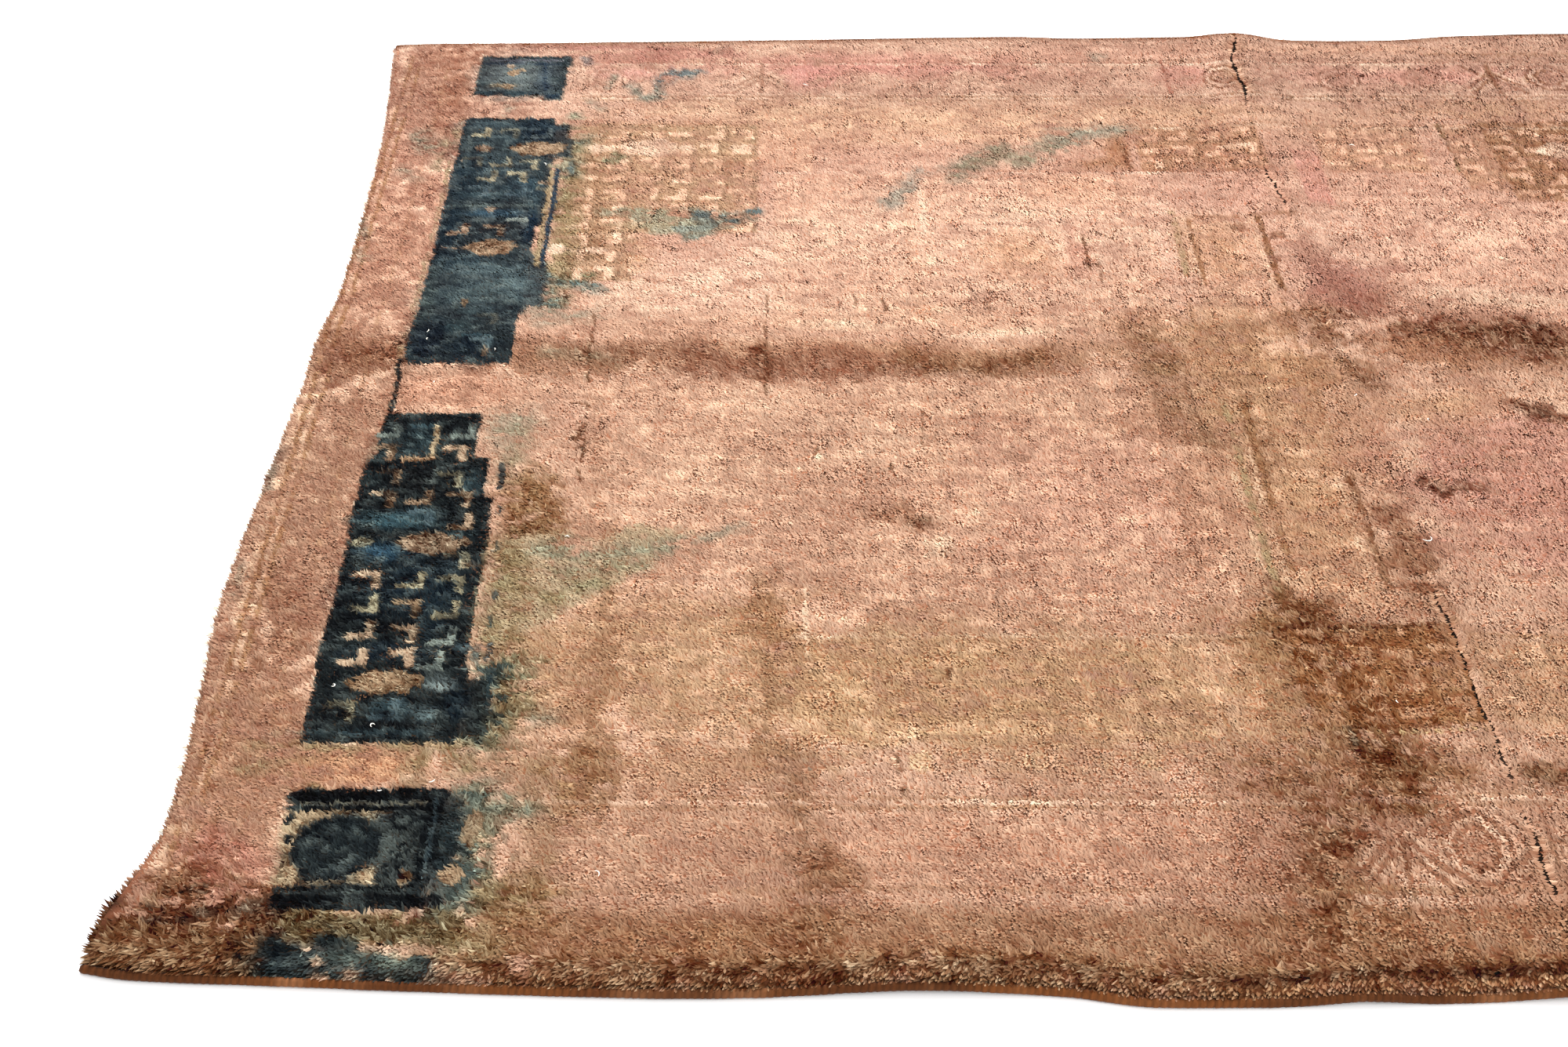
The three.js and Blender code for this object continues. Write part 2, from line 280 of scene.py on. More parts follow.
def field(x, y, cell, seed, octaves=3):
    """Soft clouds between about -1 and 1, with cells of this size."""
    values = np.random.default_rng(seed).random((FIELD_GRID, FIELD_GRID)) * 2 - 1
    total = np.zeros(np.shape(x))
    weight = 0.0
    for octave in range(octaves):
        u = np.asarray(x) / cell * 2**octave + SHIFT_U * octave
        v = np.asarray(y) / cell * 2**octave + SHIFT_V * octave
        i, j = np.floor(u).astype(int), np.floor(v).astype(int)
        fu, fv = smooth_rise(u - i), smooth_rise(v - j)
        i, j, next_i, next_j = (k % FIELD_GRID for k in (i, j, i + 1, j + 1))
        a, b, c, d = values[i, j], values[next_i, j], values[i, next_j], values[next_i, next_j]
        total += 0.5**octave * (a * (1 - fu) * (1 - fv) + b * fu * (1 - fv) + c * (1 - fu) * fv + d * fu * fv)
        weight += 0.5**octave
    return FIELD_GAIN * total / weight


# %% [markdown]
# ## The chart of dyes
#
# A weaver works from a chart with one square for each knot. This one is finer, an array with cells of
# 1.5 mm, about five to a knot, so that worn edges can be soft. Each mark lays one dye over a window of it,
# as strongly as the mark's shape says there. Places are read from the left end (s) and from the near side
# (t), as a rug is measured by hand. Knots are never quite in line, so every mark is drawn at places that
# wobble by a millimetre or two.
#
# The tables of marks give places and sizes in millimetres, dyes as 0xRRGGBB, and strengths up to 1.

# %% An empty chart
CHART_STEP = 1.5 * MM
ORIGIN_S = 1.375
ORIGIN_T = 1.017


def rgb(dye):
    """The display channels, between 0 and 1, of a dye written as 0xRRGGBB. A ready dye stays as it is."""
    if isinstance(dye, int):
        return np.array([dye >> 16, dye >> 8 & 255, dye & 255], float) / 255
    return dye


def metres(*sizes):
    """Sizes from a table, in millimetres, as metres."""
    return [size / 1000 for size in sizes]


def path(points):
    """Points from a table as metres."""
    return [metres(*point) for point in points]


def tinted(colours, dye, amount):
    """Colours mixed with one dye, by an amount for each of them."""
    return colours + (rgb(dye) - colours) * amount[..., None]


PEACH = rgb(0xD9A88E)
LIGHT = rgb(0xF3C8AC)
PALE = rgb(0xFAD6B8)
PINK = rgb(0xD89482)
ROSE = rgb(0xCC8A78)
TAN = rgb(0xC69A76)
STRAW = rgb(0xD8B282)
BROWN = rgb(0xA07050)
TEAL = rgb(0x747C72)
OLIVE = rgb(0x8E785A)
INDIGO = rgb(0x0E1318)
SLATE = rgb(0x465C64)
GREY = rgb(0x929080)
BLUE = rgb(0x283034)

chart_s = np.arange(-0.030, 2.800, CHART_STEP)
chart_t = np.arange(-0.015, 2.040, CHART_STEP)
cell_s, cell_t = np.meshgrid(chart_s, chart_t, indexing="ij")
# Unevenness of four kinds: broad, fine, drawn out along the rug, and in single locks
cloud = field(cell_s, cell_t, 0.060, 41)
grain = field(cell_s, cell_t, 0.012, 42, 2)
streak = field(cell_s * 0.22, cell_t, 0.012, 43, 2)
tangle = field(cell_s * 0.5, cell_t, 0.007, 45, 2)
# Where each cell looks for its marks
knot_s = cell_s + 1.7 * MM * grain + 1.5 * MM * cloud
knot_t = cell_t + 1.5 * MM * field(cell_s, cell_t, 0.011, 44, 2)
chart = np.tile(PEACH, (*cell_s.shape, 1))
print("chart", chart.shape)


def edge(distance, soft):
    """1 inside, 0 outside, for a distance that is positive inside."""
    return smooth_rise(distance / soft + 0.5)


def worn_mark(mark, strength, wear):
    """The mark's window of the chart, and how strong it is there. Wear thins it in clouds and streaks."""
    (s0, s1, t0, t1), shape = mark
    i = slice(*np.searchsorted(chart_s, (s0, s1)))
    j = slice(*np.searchsorted(chart_t, (t0, t1)))
    amount = strength * shape(knot_s[i, j], knot_t[i, j], cloud[i, j], grain[i, j])
    worn = cloud[i, j] + 0.7 * grain[i, j] + 0.5 * streak[i, j] + 0.6 * tangle[i, j]
    return i, j, np.clip(amount * (1 + wear * worn), -1, 1)[..., None]


def lay(mark, dye, strength, wear):
    """Dyes the chart where the mark is."""
    i, j, amount = worn_mark(mark, strength, wear)
    chart[i, j] += (rgb(dye) - chart[i, j]) * np.maximum(amount, 0)


def ghost(mark, gain, wear):
    """Lightens the chart a little where the mark is, whatever its dye, and darkens it where it is below 0."""
    i, j, amount = worn_mark(mark, 1.0, wear)
    chart[i, j] *= 1 + gain * amount


# %% Shapes of marks
# Each gives a window of the chart, and a function that says how strong the mark is at places in it
WANDER = 0.01


def around(s0, t0, reach_s, reach_t):
    return s0 - reach_s, s0 + reach_s, t0 - reach_t, t0 + reach_t


def round_points(points, reach):
    s_all, t_all = zip(*points)
    return min(s_all) - reach, max(s_all) + reach, min(t_all) - reach, max(t_all) + reach


def oval(s0, t0, reach_s, reach_t, ragged=0.6, turn=0.0):
    """A soft patch with a ragged rim, turned by some degrees."""
    c, n = math.cos(math.radians(turn)), math.sin(math.radians(turn))
    far = 1.9 * max(reach_s, reach_t)

    def shape(s, t, clouds, grains):
        u = ((s - s0) * c + (t - t0) * n) / reach_s
        v = ((t - t0) * c - (s - s0) * n) / reach_t
        return smooth_rise(1.35 - np.hypot(u, v) - 0.8 * ragged * (clouds + 0.6 * grains))

    return around(s0, t0, far, far), shape


def inside_box(s, t, s0, s1, t0, t1, soft):
    return edge(s - s0, soft) * edge(s1 - s, soft) * edge(t - t0, soft) * edge(t1 - t, soft)


def bar(s0, s1, t0, t1, soft=0.003):
    def shape(s, t, clouds, grains):
        return inside_box(s, t, s0, s1, t0, t1, soft)

    return (s0 - soft - WANDER, s1 + soft + WANDER, t0 - soft - WANDER, t1 + soft + WANDER), shape


def line(points, half, soft=0.003, ragged=0.0):
    """A line through points, this far to each side."""
    def shape(s, t, clouds, grains):
        nearest = np.full(s.shape, 9.0)
        for (s1, t1), (s2, t2) in zip(points, points[1:]):
            ds, dt = s2 - s1, t2 - t1
            share = np.clip(((s - s1) * ds + (t - t1) * dt) / (ds * ds + dt * dt), 0, 1)
            nearest = np.minimum(nearest, np.hypot(s - s1 - share * ds, t - t1 - share * dt))
        return edge(half * (1 - ragged * (clouds + grains)) - nearest, soft)

    return round_points(points, 2.5 * half + soft + WANDER), shape


def wedge(corners, soft):
    """A convex patch between corners that are given anticlockwise."""
    def shape(s, t, clouds, grains):
        inside = np.full(s.shape, 9.0)
        for (s1, t1), (s2, t2) in zip(corners, corners[1:] + corners[:1]):
            long = math.hypot(s2 - s1, t2 - t1)
            inside = np.minimum(inside, ((s2 - s1) * (t - t1) - (t2 - t1) * (s - s1)) / long)
        return edge(inside + 0.006 * (clouds + grains), soft)

    return round_points(corners, soft), shape


def round_ring(s0, t0, radius, at, wide):
    """A ring, or a disc where at is 0: at what share of the radius, and how wide."""
    def shape(s, t, clouds, grains):
        return edge(wide - np.abs(np.hypot(s - s0, t - t0) / radius - at + 0.07 * grains), 0.14)

    return around(s0, t0, 1.2 * radius, 1.2 * radius), shape


DOT_PITCH = 0.0125


def dots(s0, s1, t0, half):
    """A row of knots in two colours by turns, along the rug."""
    def shape(s, t, clouds, grains):
        by_turns = 0.5 + 0.5 * np.sin(s * 2 * math.pi / DOT_PITCH)
        return edge(half - np.abs(t - t0), 0.003) * edge(s - s0, 0.02) * edge(s1 - s, 0.02) * by_turns

    return (s0, s1, t0 - half - WANDER, t0 + half + WANDER), shape


HOOK_HALF = 0.0160
HOOK_STROKE = 0.0100
GHOST_STROKE = 0.0125


def hook_shape(u, v, kind, stroke=HOOK_STROKE):
    """A key hook: an upright on its right, with a foot ("J") or a head ("7") that runs to the left."""
    within = edge(HOOK_HALF - np.abs(u), 0.003) * edge(HOOK_HALF - np.abs(v), 0.003)
    upright = edge(u - HOOK_HALF + stroke, 0.003)
    rise = -v if kind == "J" else v
    return within * np.maximum(upright, edge(rise - HOOK_HALF + stroke, 0.003))


def hook(s0, t0, kind):
    def shape(s, t, clouds, grains):
        return hook_shape(s - s0, t - t0, kind)

    return around(s0, t0, 0.03, 0.03), shape


def lozenge(s0, t0, half_s, half_t):
    """A lozenge with rounded sides and worn ends."""
    def shape(s, t, clouds, grains):
        u, v = np.abs(s - s0) / half_s, np.abs(t - t0) / half_t
        return edge(1.05 - u**1.5 - v**1.5 - 0.25 * grains, 0.35)

    return around(s0, t0, half_s + WANDER, half_t + WANDER), shape


def ring(s0, t0, half_s, half_t, at, wide):
    """One ring of an octagon: at what share of its size, and how wide."""
    def shape(s, t, clouds, grains):
        u, v = np.abs(s - s0) / half_s, np.abs(t - t0) / half_t
        return edge(wide - np.abs(np.maximum(np.maximum(u, v), 0.72 * (u + v)) - at), 0.10)

    return around(s0, t0, half_s + WANDER, half_t + WANDER), shape


MAZE_S = 0.0475
MAZE_T = 0.0445
# How far each hook's painted shadow is shifted from it, along and across
SHADOW_SHIFT = 0.0065
HOOK_WANDER = 0.0090
BAR_FROM = 0.86
FOOT_BELOW = 0.42
LATTICE = 64


def maze(s0, s1, t0, t1, seed):
    """Key hooks on a lattice, some worn to bars. Each has a painted shadow along one side, below 0."""
    kinds, off_s, off_t = np.random.default_rng(seed).random((3, LATTICE, LATTICE))

    def hooks(u, v, kind):
        worn_bar = edge(0.008 - np.abs(v), 0.004) * edge(0.018 - np.abs(u), 0.005)
        with_foot, with_head = (hook_shape(u, v, end, GHOST_STROKE) for end in "J7")
        return np.where(kind > BAR_FROM, worn_bar, np.where(kind < FOOT_BELOW, with_foot, with_head))

    def shape(s, t, clouds, grains):
        i, j = np.floor((s - s0) / MAZE_S).astype(int), np.floor((t - t0) / MAZE_T).astype(int)
        cell = (i % LATTICE, j % LATTICE)
        u = (s - s0) - (i + 0.5) * MAZE_S - HOOK_WANDER * (off_s[cell] - 0.5)
        v = (t - t0) - (j + 0.5) * MAZE_T - HOOK_WANDER * (off_t[cell] - 0.5)
        kind = kinds[cell]
        light = hooks(u, v, kind)
        dark = hooks(u - SHADOW_SHIFT, v + SHADOW_SHIFT, kind) * (1 - light)
        return inside_box(s, t, s0, s1, t0, t1, 0.004) * (light - dark)

    return (s0, s1, t0, t1), shape


# %% The ground and its patches
# s, t, reach along each, dye, strength; then raggedness where it isn't 0.6, and turn in degrees
# Along the folds the dark patches are painted shade on slopes that face the camera,
# and the thin pale ones just past a ridge are painted highlights
PATCHES = [
    (700, 1060, 460, 40, 0xBE8A6C, .7, .4), (1620, 1115, 260, 55, 0xBA846C, .65, .5, -6),
    (1270, 580, 130, 560, 0xC89676, .55, .5), (200, 1380, 220, 480, 0xD6A486, .3, .5),
    (390, 120, 60, 60, 0x846446, .85), (340, 200, 40, 80, 0xA07C5C, .7),
    (1280, 1745, 160, 35, 0xC49270, .6), (1800, 1745, 200, 35, 0xCE9C7A, .6),
    (720, 1735, 300, 30, 0xDEAC8C, .5), (1250, 930, 110, 230, 0xBE8E6A, .55),
    (1240, 1130, 130, 60, 0xC2926E, .55), (1380, 900, 50, 300, 0xB07C60, .4, .7),
    (1255, 900, 16, 130, 0x966C50, .7, .7), (1385, 1120, 50, 50, 0x8C5E46, .65, .8),
    (1390, 640, 30, 80, 0x96664E, .65, .8), (1600, 1190, 120, 24, 0xECBEA0, .6, .6, -12),
    (550, 1130, 200, 50, 0xCC9A7E, .45, .7), (860, 1170, 120, 40, 0xCE9C7E, .4, .8),
    (440, 1930, 26, 70, 0x966250, .7, .7), (545, 1955, 40, 20, 0x926858, .6),
    (330, 1975, 120, 16, 0xB07062, .6), (1460, 1200, 80, 50, 0x9E6854, .75, .6, 20),
    (1560, 1080, 140, 60, 0xA47054, .65, .6, -10), (1250, 420, 110, 160, 0x84583C, .75, .6, 10),
    (1190, 170, 100, 130, 0x906248, .75), (1360, 120, 120, 110, 0xB48066, .55),
    (635, 450, 35, 130, 0xA67652, .7, .7), (660, 180, 45, 130, 0xAA7A5C, .65, .7),
    (450, 400, 30, 180, 0xA87A58, .6, .7), (345, 720, 45, 90, 0x966A4C, .6),
    (350, 1350, 50, 130, 0xB08A64, .6), (345, 1570, 40, 100, 0xAC8662, .6),
    (80, 1050, 80, 50, 0x9E6C54, .8, .5), (90, 1880, 70, 100, 0xB0765E, .6, .5),
    (600, 50, 500, 30, 0x8E6246, .6), (1250, 40, 250, 30, 0x845A40, .6),
    (950, 1360, 420, 200, LIGHT, .9, .5), (620, 1240, 260, 110, LIGHT, .8, .5),
    (1620, 1360, 240, 140, LIGHT, .8, .5, 6), (440, 1210, 50, 70, PALE, .6, .5),
    (730, 1130, 70, 16, PALE, .8, .5), (950, 1110, 100, 14, PALE, .55, .5, 8),
    (990, 1440, 70, 35, PALE, .75, .5), (700, 1380, 100, 80, PALE, .35, .5),
    (1150, 1360, 30, 50, PALE, .5, .5), (1640, 1200, 130, 22, PALE, .7, .5, -8),
    (990, 1320, 70, 70, 0xD8A480, .75, .4), (780, 1260, 140, 50, PEACH, .45, .5),
    (1075, 1330, 22, 60, 0xCE907A, .6), (1100, 1500, 80, 50, 0xDEA684, .5),
    (760, 870, 90, 60, LIGHT, .55), (570, 810, 130, 80, 0xE8BA9E, .55),
    (850, 740, 120, 80, 0xE4B298, .45), (620, 950, 90, 40, LIGHT, .45), (400, 930, 70, 40, 0xE2B098, .6),
    (1050, 760, 200, 160, 0xE0A892, .7, .5), (950, 910, 60, 35, 0xC48E78, .55),
    (780, 420, 500, 120, TAN, .9, .5), (520, 500, 180, 100, 0xC69A76, .7),
    (640, 530, 35, 50, 0xAC7A54, .6), (570, 300, 120, 40, 0xBE8E6C, .5),
    (350, 310, 50, 30, 0xE4B292, .6, .5), (950, 1710, 660, 80, 0xE6B694, .7, .4),
    (550, 1760, 160, 30, 0xE8B896, .6, .5), (860, 190, 600, 70, 0xD8A286, .65, .5),
    (540, 190, 160, 90, 0xCC9C80, .6), (800, 1910, 340, 50, PINK, .7, .5),
    (700, 1870, 50, 50, 0xE8A092, .6, .5, -35), (460, 1940, 160, 35, ROSE, .7),
    (400, 1880, 70, 30, 0xE8A896, .6, .5), (1150, 1940, 300, 40, 0xDEA68C, .6, .5),
    (1310, 1875, 60, 40, PINK, .6, .5), (1700, 1870, 250, 40, PINK, .5, .5),
    (1600, 1965, 300, 25, 0xE0AA8C, .6, .5), (220, 985, 90, 40, 0xDCA084, .75, .4),
    (60, 1720, 90, 260, 0xBA866E, .85, .5), (100, 1930, 80, 45, 0xB2785E, .6, .5),
    (120, 1820, 35, 100, 0xAC765C, .6), (70, 1360, 90, 240, 0xBE8A70, .85, .5),
    (60, 1100, 80, 100, 0xB07E66, .75, .5), (70, 720, 100, 320, 0xB08068, .9),
    (40, 800, 30, 90, 0xD6A68A, .5, .5), (80, 320, 100, 200, 0xAC7A60, .9),
    (90, 175, 60, 35, 0xBE7466, .6, .6, -30), (85, 150, 12, 10, 0xC46058, .7, .3),
    (220, 305, 100, 30, 0xCE9470, .8, .5), (370, 1050, 130, 36, 0x9E6C52, .65),
    (640, 1042, 110, 42, 0x9E6A54, .7), (900, 1040, 110, 28, 0xA67458, .7),
    (625, 1045, 22, 50, 0x7E503C, .85, .5), (730, 1055, 90, 28, 0xB88064, .65),
    (830, 1050, 30, 30, 0x8C5C42, .7, .6, 40), (940, 1046, 95, 26, 0xB28062, .75, .5),
    (910, 1032, 30, 8, 0x7C4E38, .75, .5, -10), (1005, 1065, 24, 14, 0x8E5C42, .75, .5, 30),
    (1100, 1070, 60, 30, 0xBE8C6E, .6), (1145, 1000, 34, 130, 0xA07258, .72, .6, 6),
    (1155, 890, 30, 40, 0xA06E54, .7, .6, -30), (1100, 910, 60, 22, 0xB27E64, .6),
    (1130, 640, 22, 30, 0xA06E54, .6, .5), (1170, 760, 50, 120, 0xC69274, .6),
    (1140, 1140, 50, 30, 0xBE8A6A, .6, .6, 20), (1260, 870, 20, 80, 0x9C6C50, .75, .5),
    (1310, 1040, 100, 60, 0xC4926E, .7), (1360, 1030, 30, 40, 0xA87658, .6),
    (1290, 740, 60, 100, 0xD09E78, .6, .5), (1270, 1330, 60, 90, 0xD2A07C, .7, .5),
    (1420, 1000, 26, 12, 0x744A38, .85, .5, -6), (1410, 1155, 45, 14, 0x825442, .75, .5, -6),
    (1430, 1240, 60, 70, 0xB87C6C, .65, .6, 30), (1520, 1280, 30, 12, 0xA06858, .6, .5),
    (1500, 1080, 80, 35, 0xB27A5C, .75, .6, -14), (1550, 1130, 60, 22, 0x966252, .8, .5, -12),
    (1660, 1105, 60, 45, 0x744A3A, .92, .5), (1750, 1100, 60, 40, 0x966450, .8, .6, -10),
    (1625, 935, 18, 35, 0x784A3A, .8, .5, -25), (1465, 775, 35, 11, 0x603A2E, .9, .4, -8),
    (1450, 800, 18, 14, 0x96624E, .7, .5, 30), (1600, 780, 200, 170, 0xD89A88, .85),
    (1500, 950, 100, 40, 0xCE9A78, .55, .6, 10), (1650, 420, 260, 110, 0xD8A886, .8, .5),
    (1200, 500, 50, 60, 0xA07250, .75), (1260, 550, 30, 30, 0x8C5E44, .8),
    (1265, 370, 30, 85, 0x68422C, .92, .5, 14), (1295, 300, 35, 40, 0x8E6044, .75, .6, 20),
    (1160, 285, 45, 28, 0x8A5C42, .75, .5), (1140, 170, 30, 40, 0xA6725A, .65, .6, -20),
    (1245, 220, 22, 40, 0x845440, .75, .5, -15), (1185, 110, 12, 20, 0x6E4632, .75, .5, -20),
    (1190, 75, 28, 26, 0x543626, .95, .6, -20), (1250, 90, 30, 25, 0x8A5C44, .7),
    (1365, 295, 20, 18, 0x96684A, .8, .3), (1450, 290, 30, 20, 0x7E543E, .85, .3),
    (1410, 40, 100, 30, 0xA06E52, .7), (350, 745, 44, 90, 0x885C40, .9, .5),
    (340, 690, 22, 30, 0x684632, .8, .5), (445, 285, 40, 70, 0x966C4C, .65, .8),
    (450, 620, 20, 120, 0xB28464, .6, .8), (700, 145, 45, 50, 0x96664C, .8, .6, 20),
    (690, 80, 35, 30, 0x6E4632, .85, .7), (580, 75, 90, 22, 0x926446, .7, .7),
    (820, 715, 24, 13, 0x462A22, .95), (790, 730, 50, 30, 0x96644C, .7, .9, -20),
    (80, 100, 160, 60, 0x84583C, .9, .8, -6), (80, 118, 150, 34, 0x583424, .9, .9, -6),
    (130, 75, 50, 24, 0x785036, .8, .8), (100, 44, 170, 22, 0x8C6044, .88, .6, -4),
    (420, 1330, 50, 80, 0xD6AA80, .5), (375, 1360, 30, 50, 0x886242, .8),
    (365, 1520, 22, 60, 0xB0805C, .6), (575, 1570, 30, 35, 0xBC8A66, .6, .5),
    (350, 1680, 35, 30, 0xA87A58, .6), (1170, 1620, 20, 60, 0xB27A56, .75),
    (1130, 1580, 40, 20, 0xB27E5C, .6), (1340, 1490, 100, 50, 0xE4AE96, .5),
    (2350, 1200, 400, 400, 0xE4B496, .7, .5), (2400, 500, 360, 200, 0xCE9E7C, .7, .5),
    (2700, 1000, 70, 900, 0xBE8E72, .7),
]

# Dark patches are more broken than pale ones
DARK_DYE = 0.68
for s, t, reach_s, reach_t, dye, strength, *rim in PATCHES:
    wear = 0.9 if rgb(dye)[0] < DARK_DYE else 0.5
    lay(oval(*metres(s, t, reach_s, reach_t), *rim), dye, strength, wear)

# Browner smears: points, half width, soft edge, dye, strength
# Those along the folds are painted shade on the slopes; the rest is wool browned by feet
SMEARS_AND_FOLD_SHADE = [
    ([(1230, 560), (1262, 470), (1290, 380), (1306, 260)], 30, 56, 0x70462C, .76),
    ([(1225, 520), (1300, 505), (1390, 500)], 14, 30, 0x7A5036, .6),
    ([(1222, 250), (1196, 160), (1215, 70)], 26, 50, 0x704832, .8),
    ([(1140, 1130), (1162, 1050), (1155, 960), (1182, 870)], 16, 36, 0x825A40, .55),
    ([(1200, 1150), (1260, 1120), (1330, 1150), (1400, 1160)], 12, 36, 0x96684C, .6),
    ([(1250, 970), (1255, 880), (1245, 790)], 8, 20, 0x865C42, .7),
    ([(1385, 720), (1400, 650), (1390, 580)], 14, 34, 0x8A5A44, .65),
    ([(1400, 1330), (1420, 1240), (1470, 1180)], 18, 40, 0xA06A58, .6),
    ([(1500, 1125), (1580, 1108), (1660, 1088), (1760, 1080)], 26, 50, 0x744C38, .7),
    ([(1380, 1140), (1390, 1060), (1420, 1000)], 12, 34, 0x825640, .65),
    ([(540, 1050), (640, 1036), (750, 1048)], 26, 50, 0x8E5C48, .45),
    ([(290, 1080), (400, 1062), (540, 1066)], 16, 46, 0x966650, .55),
    ([(820, 1034), (900, 1028), (985, 1050)], 8, 30, 0x744C36, .6),
    ([(660, 320), (675, 200), (700, 120), (680, 50)], 15, 36, 0x8C624A, .5),
    ([(625, 610), (642, 470), (630, 350)], 14, 36, 0x9C7050, .55),
    ([(455, 500), (440, 380), (460, 260)], 18, 40, 0x966A4E, .55),
    ([(410, 960), (430, 800), (420, 700)], 12, 36, 0xB08066, .5),
    ([(345, 800), (360, 600), (350, 360)], 16, 60, 0x92704E, .5),
    ([(350, 1640), (352, 1500), (345, 1250)], 12, 50, 0x807456, .45),
    ([(390, 300), (410, 200), (400, 100)], 16, 60, 0x866848, .5),
    ([(1440, 786), (1465, 772), (1498, 780)], 9, 16, 0x583428, .95),
    ([(1600, 960), (1625, 938), (1655, 925)], 11, 22, 0x704636, .9),
    ([(1745, 300), (1600, 296), (1440, 292)], 10, 24, 0x845A42, .6),
    ([(0, 20), (140, 16), (300, 10)], 16, 24, 0x7C5238, .8),
    ([(370, 1620), (385, 1480), (372, 1260)], 14, 30, 0x966E50, .6),
    ([(120, 1960), (130, 1820), (120, 1700)], 18, 40, 0xA87058, .6),
    ([(40, 1100), (90, 1050), (140, 1060)], 24, 40, 0x8C5C46, .65),
    ([(50, 620), (90, 560), (60, 450)], 14, 40, 0x966650, .55),
    ([(840, 1000), (836, 800), (842, 600)], 5, 16, 0xB07E64, .45),
    ([(840, 1540), (836, 1350), (842, 1150)], 5, 16, 0xC49274, .45),
]
for points, half, soft, dye, strength in SMEARS_AND_FOLD_SHADE:
    lay(line(path(points), *metres(half, soft), ragged=0.8), dye, strength, wear=0.5)

# %% [markdown]
# ## The ghosted design
#
# Overdyeing hid the old design, and wear brought it back as a ghost, a shade browner or lighter than the
# wool around it. A maze of key hooks fills a band round the field, stripes and dotted rows part the bands,
# and octagons take turns with a branching motif in the main border. The bands run on where the photo ends.

# %% Mazes
# s from, to, t from, to, ground dye, its strength, strength of the hooks
MAZES = [
    (330, 615, 1380, 1705, 0xBE9472, .75, .85), (615, 700, 1560, 1705, 0xDCAA8A, .5, .3),
    (330, 440, 1250, 1380, 0xBE9474, .75, .85), (1200, 1392, 1557, 1698, 0xBC8A6A, .85, .75),
    (1480, 1640, 1562, 1700, 0xC89676, .65, .65), (1685, 1760, 1500, 1705, 0xBC8A6C, .7, .7),
    (1745, 1935, 1470, 1715, 0xA27254, .85, .75), (1220, 1408, 362, 522, 0x925E3C, .8, .6),
    (665, 1200, 340, 500, 0xC69670, .3, .4), (665, 1190, 520, 1010, 0xD09C80, .25, .42),
    (400, 665, 340, 1010, 0xD09C80, .15, .34), (640, 1190, 1110, 1550, 0xDEAC8C, .25, .36),
    (1230, 1345, 560, 1430, 0xC89674, .2, .34), (1420, 2000, 370, 500, 0xBC8C6A, .45, .45),
    (1500, 1800, 1240, 1480, 0xDEA88C, .3, .3), (1460, 1760, 640, 900, 0xB8826E, .3, .3),
    (2000, 2640, 370, 500, 0xC49474, .45, .4), (1935, 2640, 1560, 1700, 0xCA9876, .45, .4),
    (2480, 2640, 500, 1560, 0xC69676, .45, .4),
]

HOOK_PALE = 0.62
# How dark the painted shadow beside each hook is, as a share of the hooks' strength
HOOK_SHADOW = 0.13
MAZE_SEED = 60
for k, (s0, s1, t0, t1, dye, base, hooks) in enumerate(MAZES):
    place = metres(s0, s1, t0, t1)
    lay(bar(*place, 0.008), dye, base, wear=0.45)
    pattern = maze(*place, MAZE_SEED + k)
    lay(pattern, rgb(dye) + HOOK_PALE * (LIGHT - rgb(dye)), 0.9 * hooks, wear=0.35)
    ghost(pattern, HOOK_SHADOW * hooks, wear=0.5)

# %% Stripes and dotted rows
# Along the rug. t, s from, to, half width, dye, strength
STRIPES = [
    (135, 330, 2700, 3.5, BROWN, .3), (246, 360, 2660, 2.6, BROWN, .4), (253, 400, 2660, 3.2, LIGHT, .42),
    (260, 500, 2660, 2.6, BROWN, .38), (508, 660, 1200, 3.4, PALE, .28),
    (502, 660, 1200, 2.5, BROWN, .25), (508, 1420, 2480, 3.5, BROWN, .45),
    (521, 1220, 1408, 4, 0x704832, .75), (1553, 640, 1400, 3, LIGHT, .6),
    (1560, 900, 1400, 2.2, 0xB87E62, .55), (1558, 1420, 2480, 3, 0xBE886A, .5),
    (1693, 1200, 2620, 2.6, PALE, .45), (1706, 340, 620, 2.4, BROWN, .45),
    (1714, 340, 620, 2, BROWN, .35), (1786, 330, 2660, 2.4, BROWN, .3), (1793, 330, 2660, 2.8, PALE, .35),
    (1799, 330, 2660, 2, BROWN, .45), (1806, 330, 2660, 2.6, PALE, .3), (1912, 330, 2660, 2.6, PALE, .45),
    (1919, 330, 2660, 2.4, 0xBA8068, .5), (1950, 1720, 2700, 3, BROWN, .55),
    (1020, 1200, 1290, 1.6, 0x543628, .8),
]
DOTTED = [
    (108, 1180, 2660, 3, 0x80543C, .6), (119, 1220, 2660, 2.6, LIGHT, .45),
    (129, 1180, 2660, 2.6, 0x8C5E46, .55), (271, 1220, 2660, 3.2, 0x80543C, .65),
    (271, 330, 1220, 2.6, BROWN, .2), (355, 1270, 1410, 3.4, STRAW, .8), (355, 660, 1270, 3, STRAW, .3),
    (1703, 1180, 2620, 3.2, 0x96664A, .55), (1703, 620, 1180, 2.6, BROWN, .2),
    (1928, 1180, 2660, 3.2, 0x9C6A52, .6), (1928, 330, 1180, 2.6, BROWN, .25),
    (1941, 1740, 2660, 3.2, 0x96664A, .65), (1779, 1680, 2660, 2.8, BROWN, .5),
]
for *place, dye, strength in STRIPES:
    t0, s0, s1, half = metres(*place)
    lay(bar(s0, s1, t0 - half, t0 + half), dye, strength, wear=0.5)
for *place, dye, strength in DOTTED:
    t0, s0, s1, half = metres(*place)
    lay(dots(s0, s1, t0, half), dye, strength, wear=0.5)

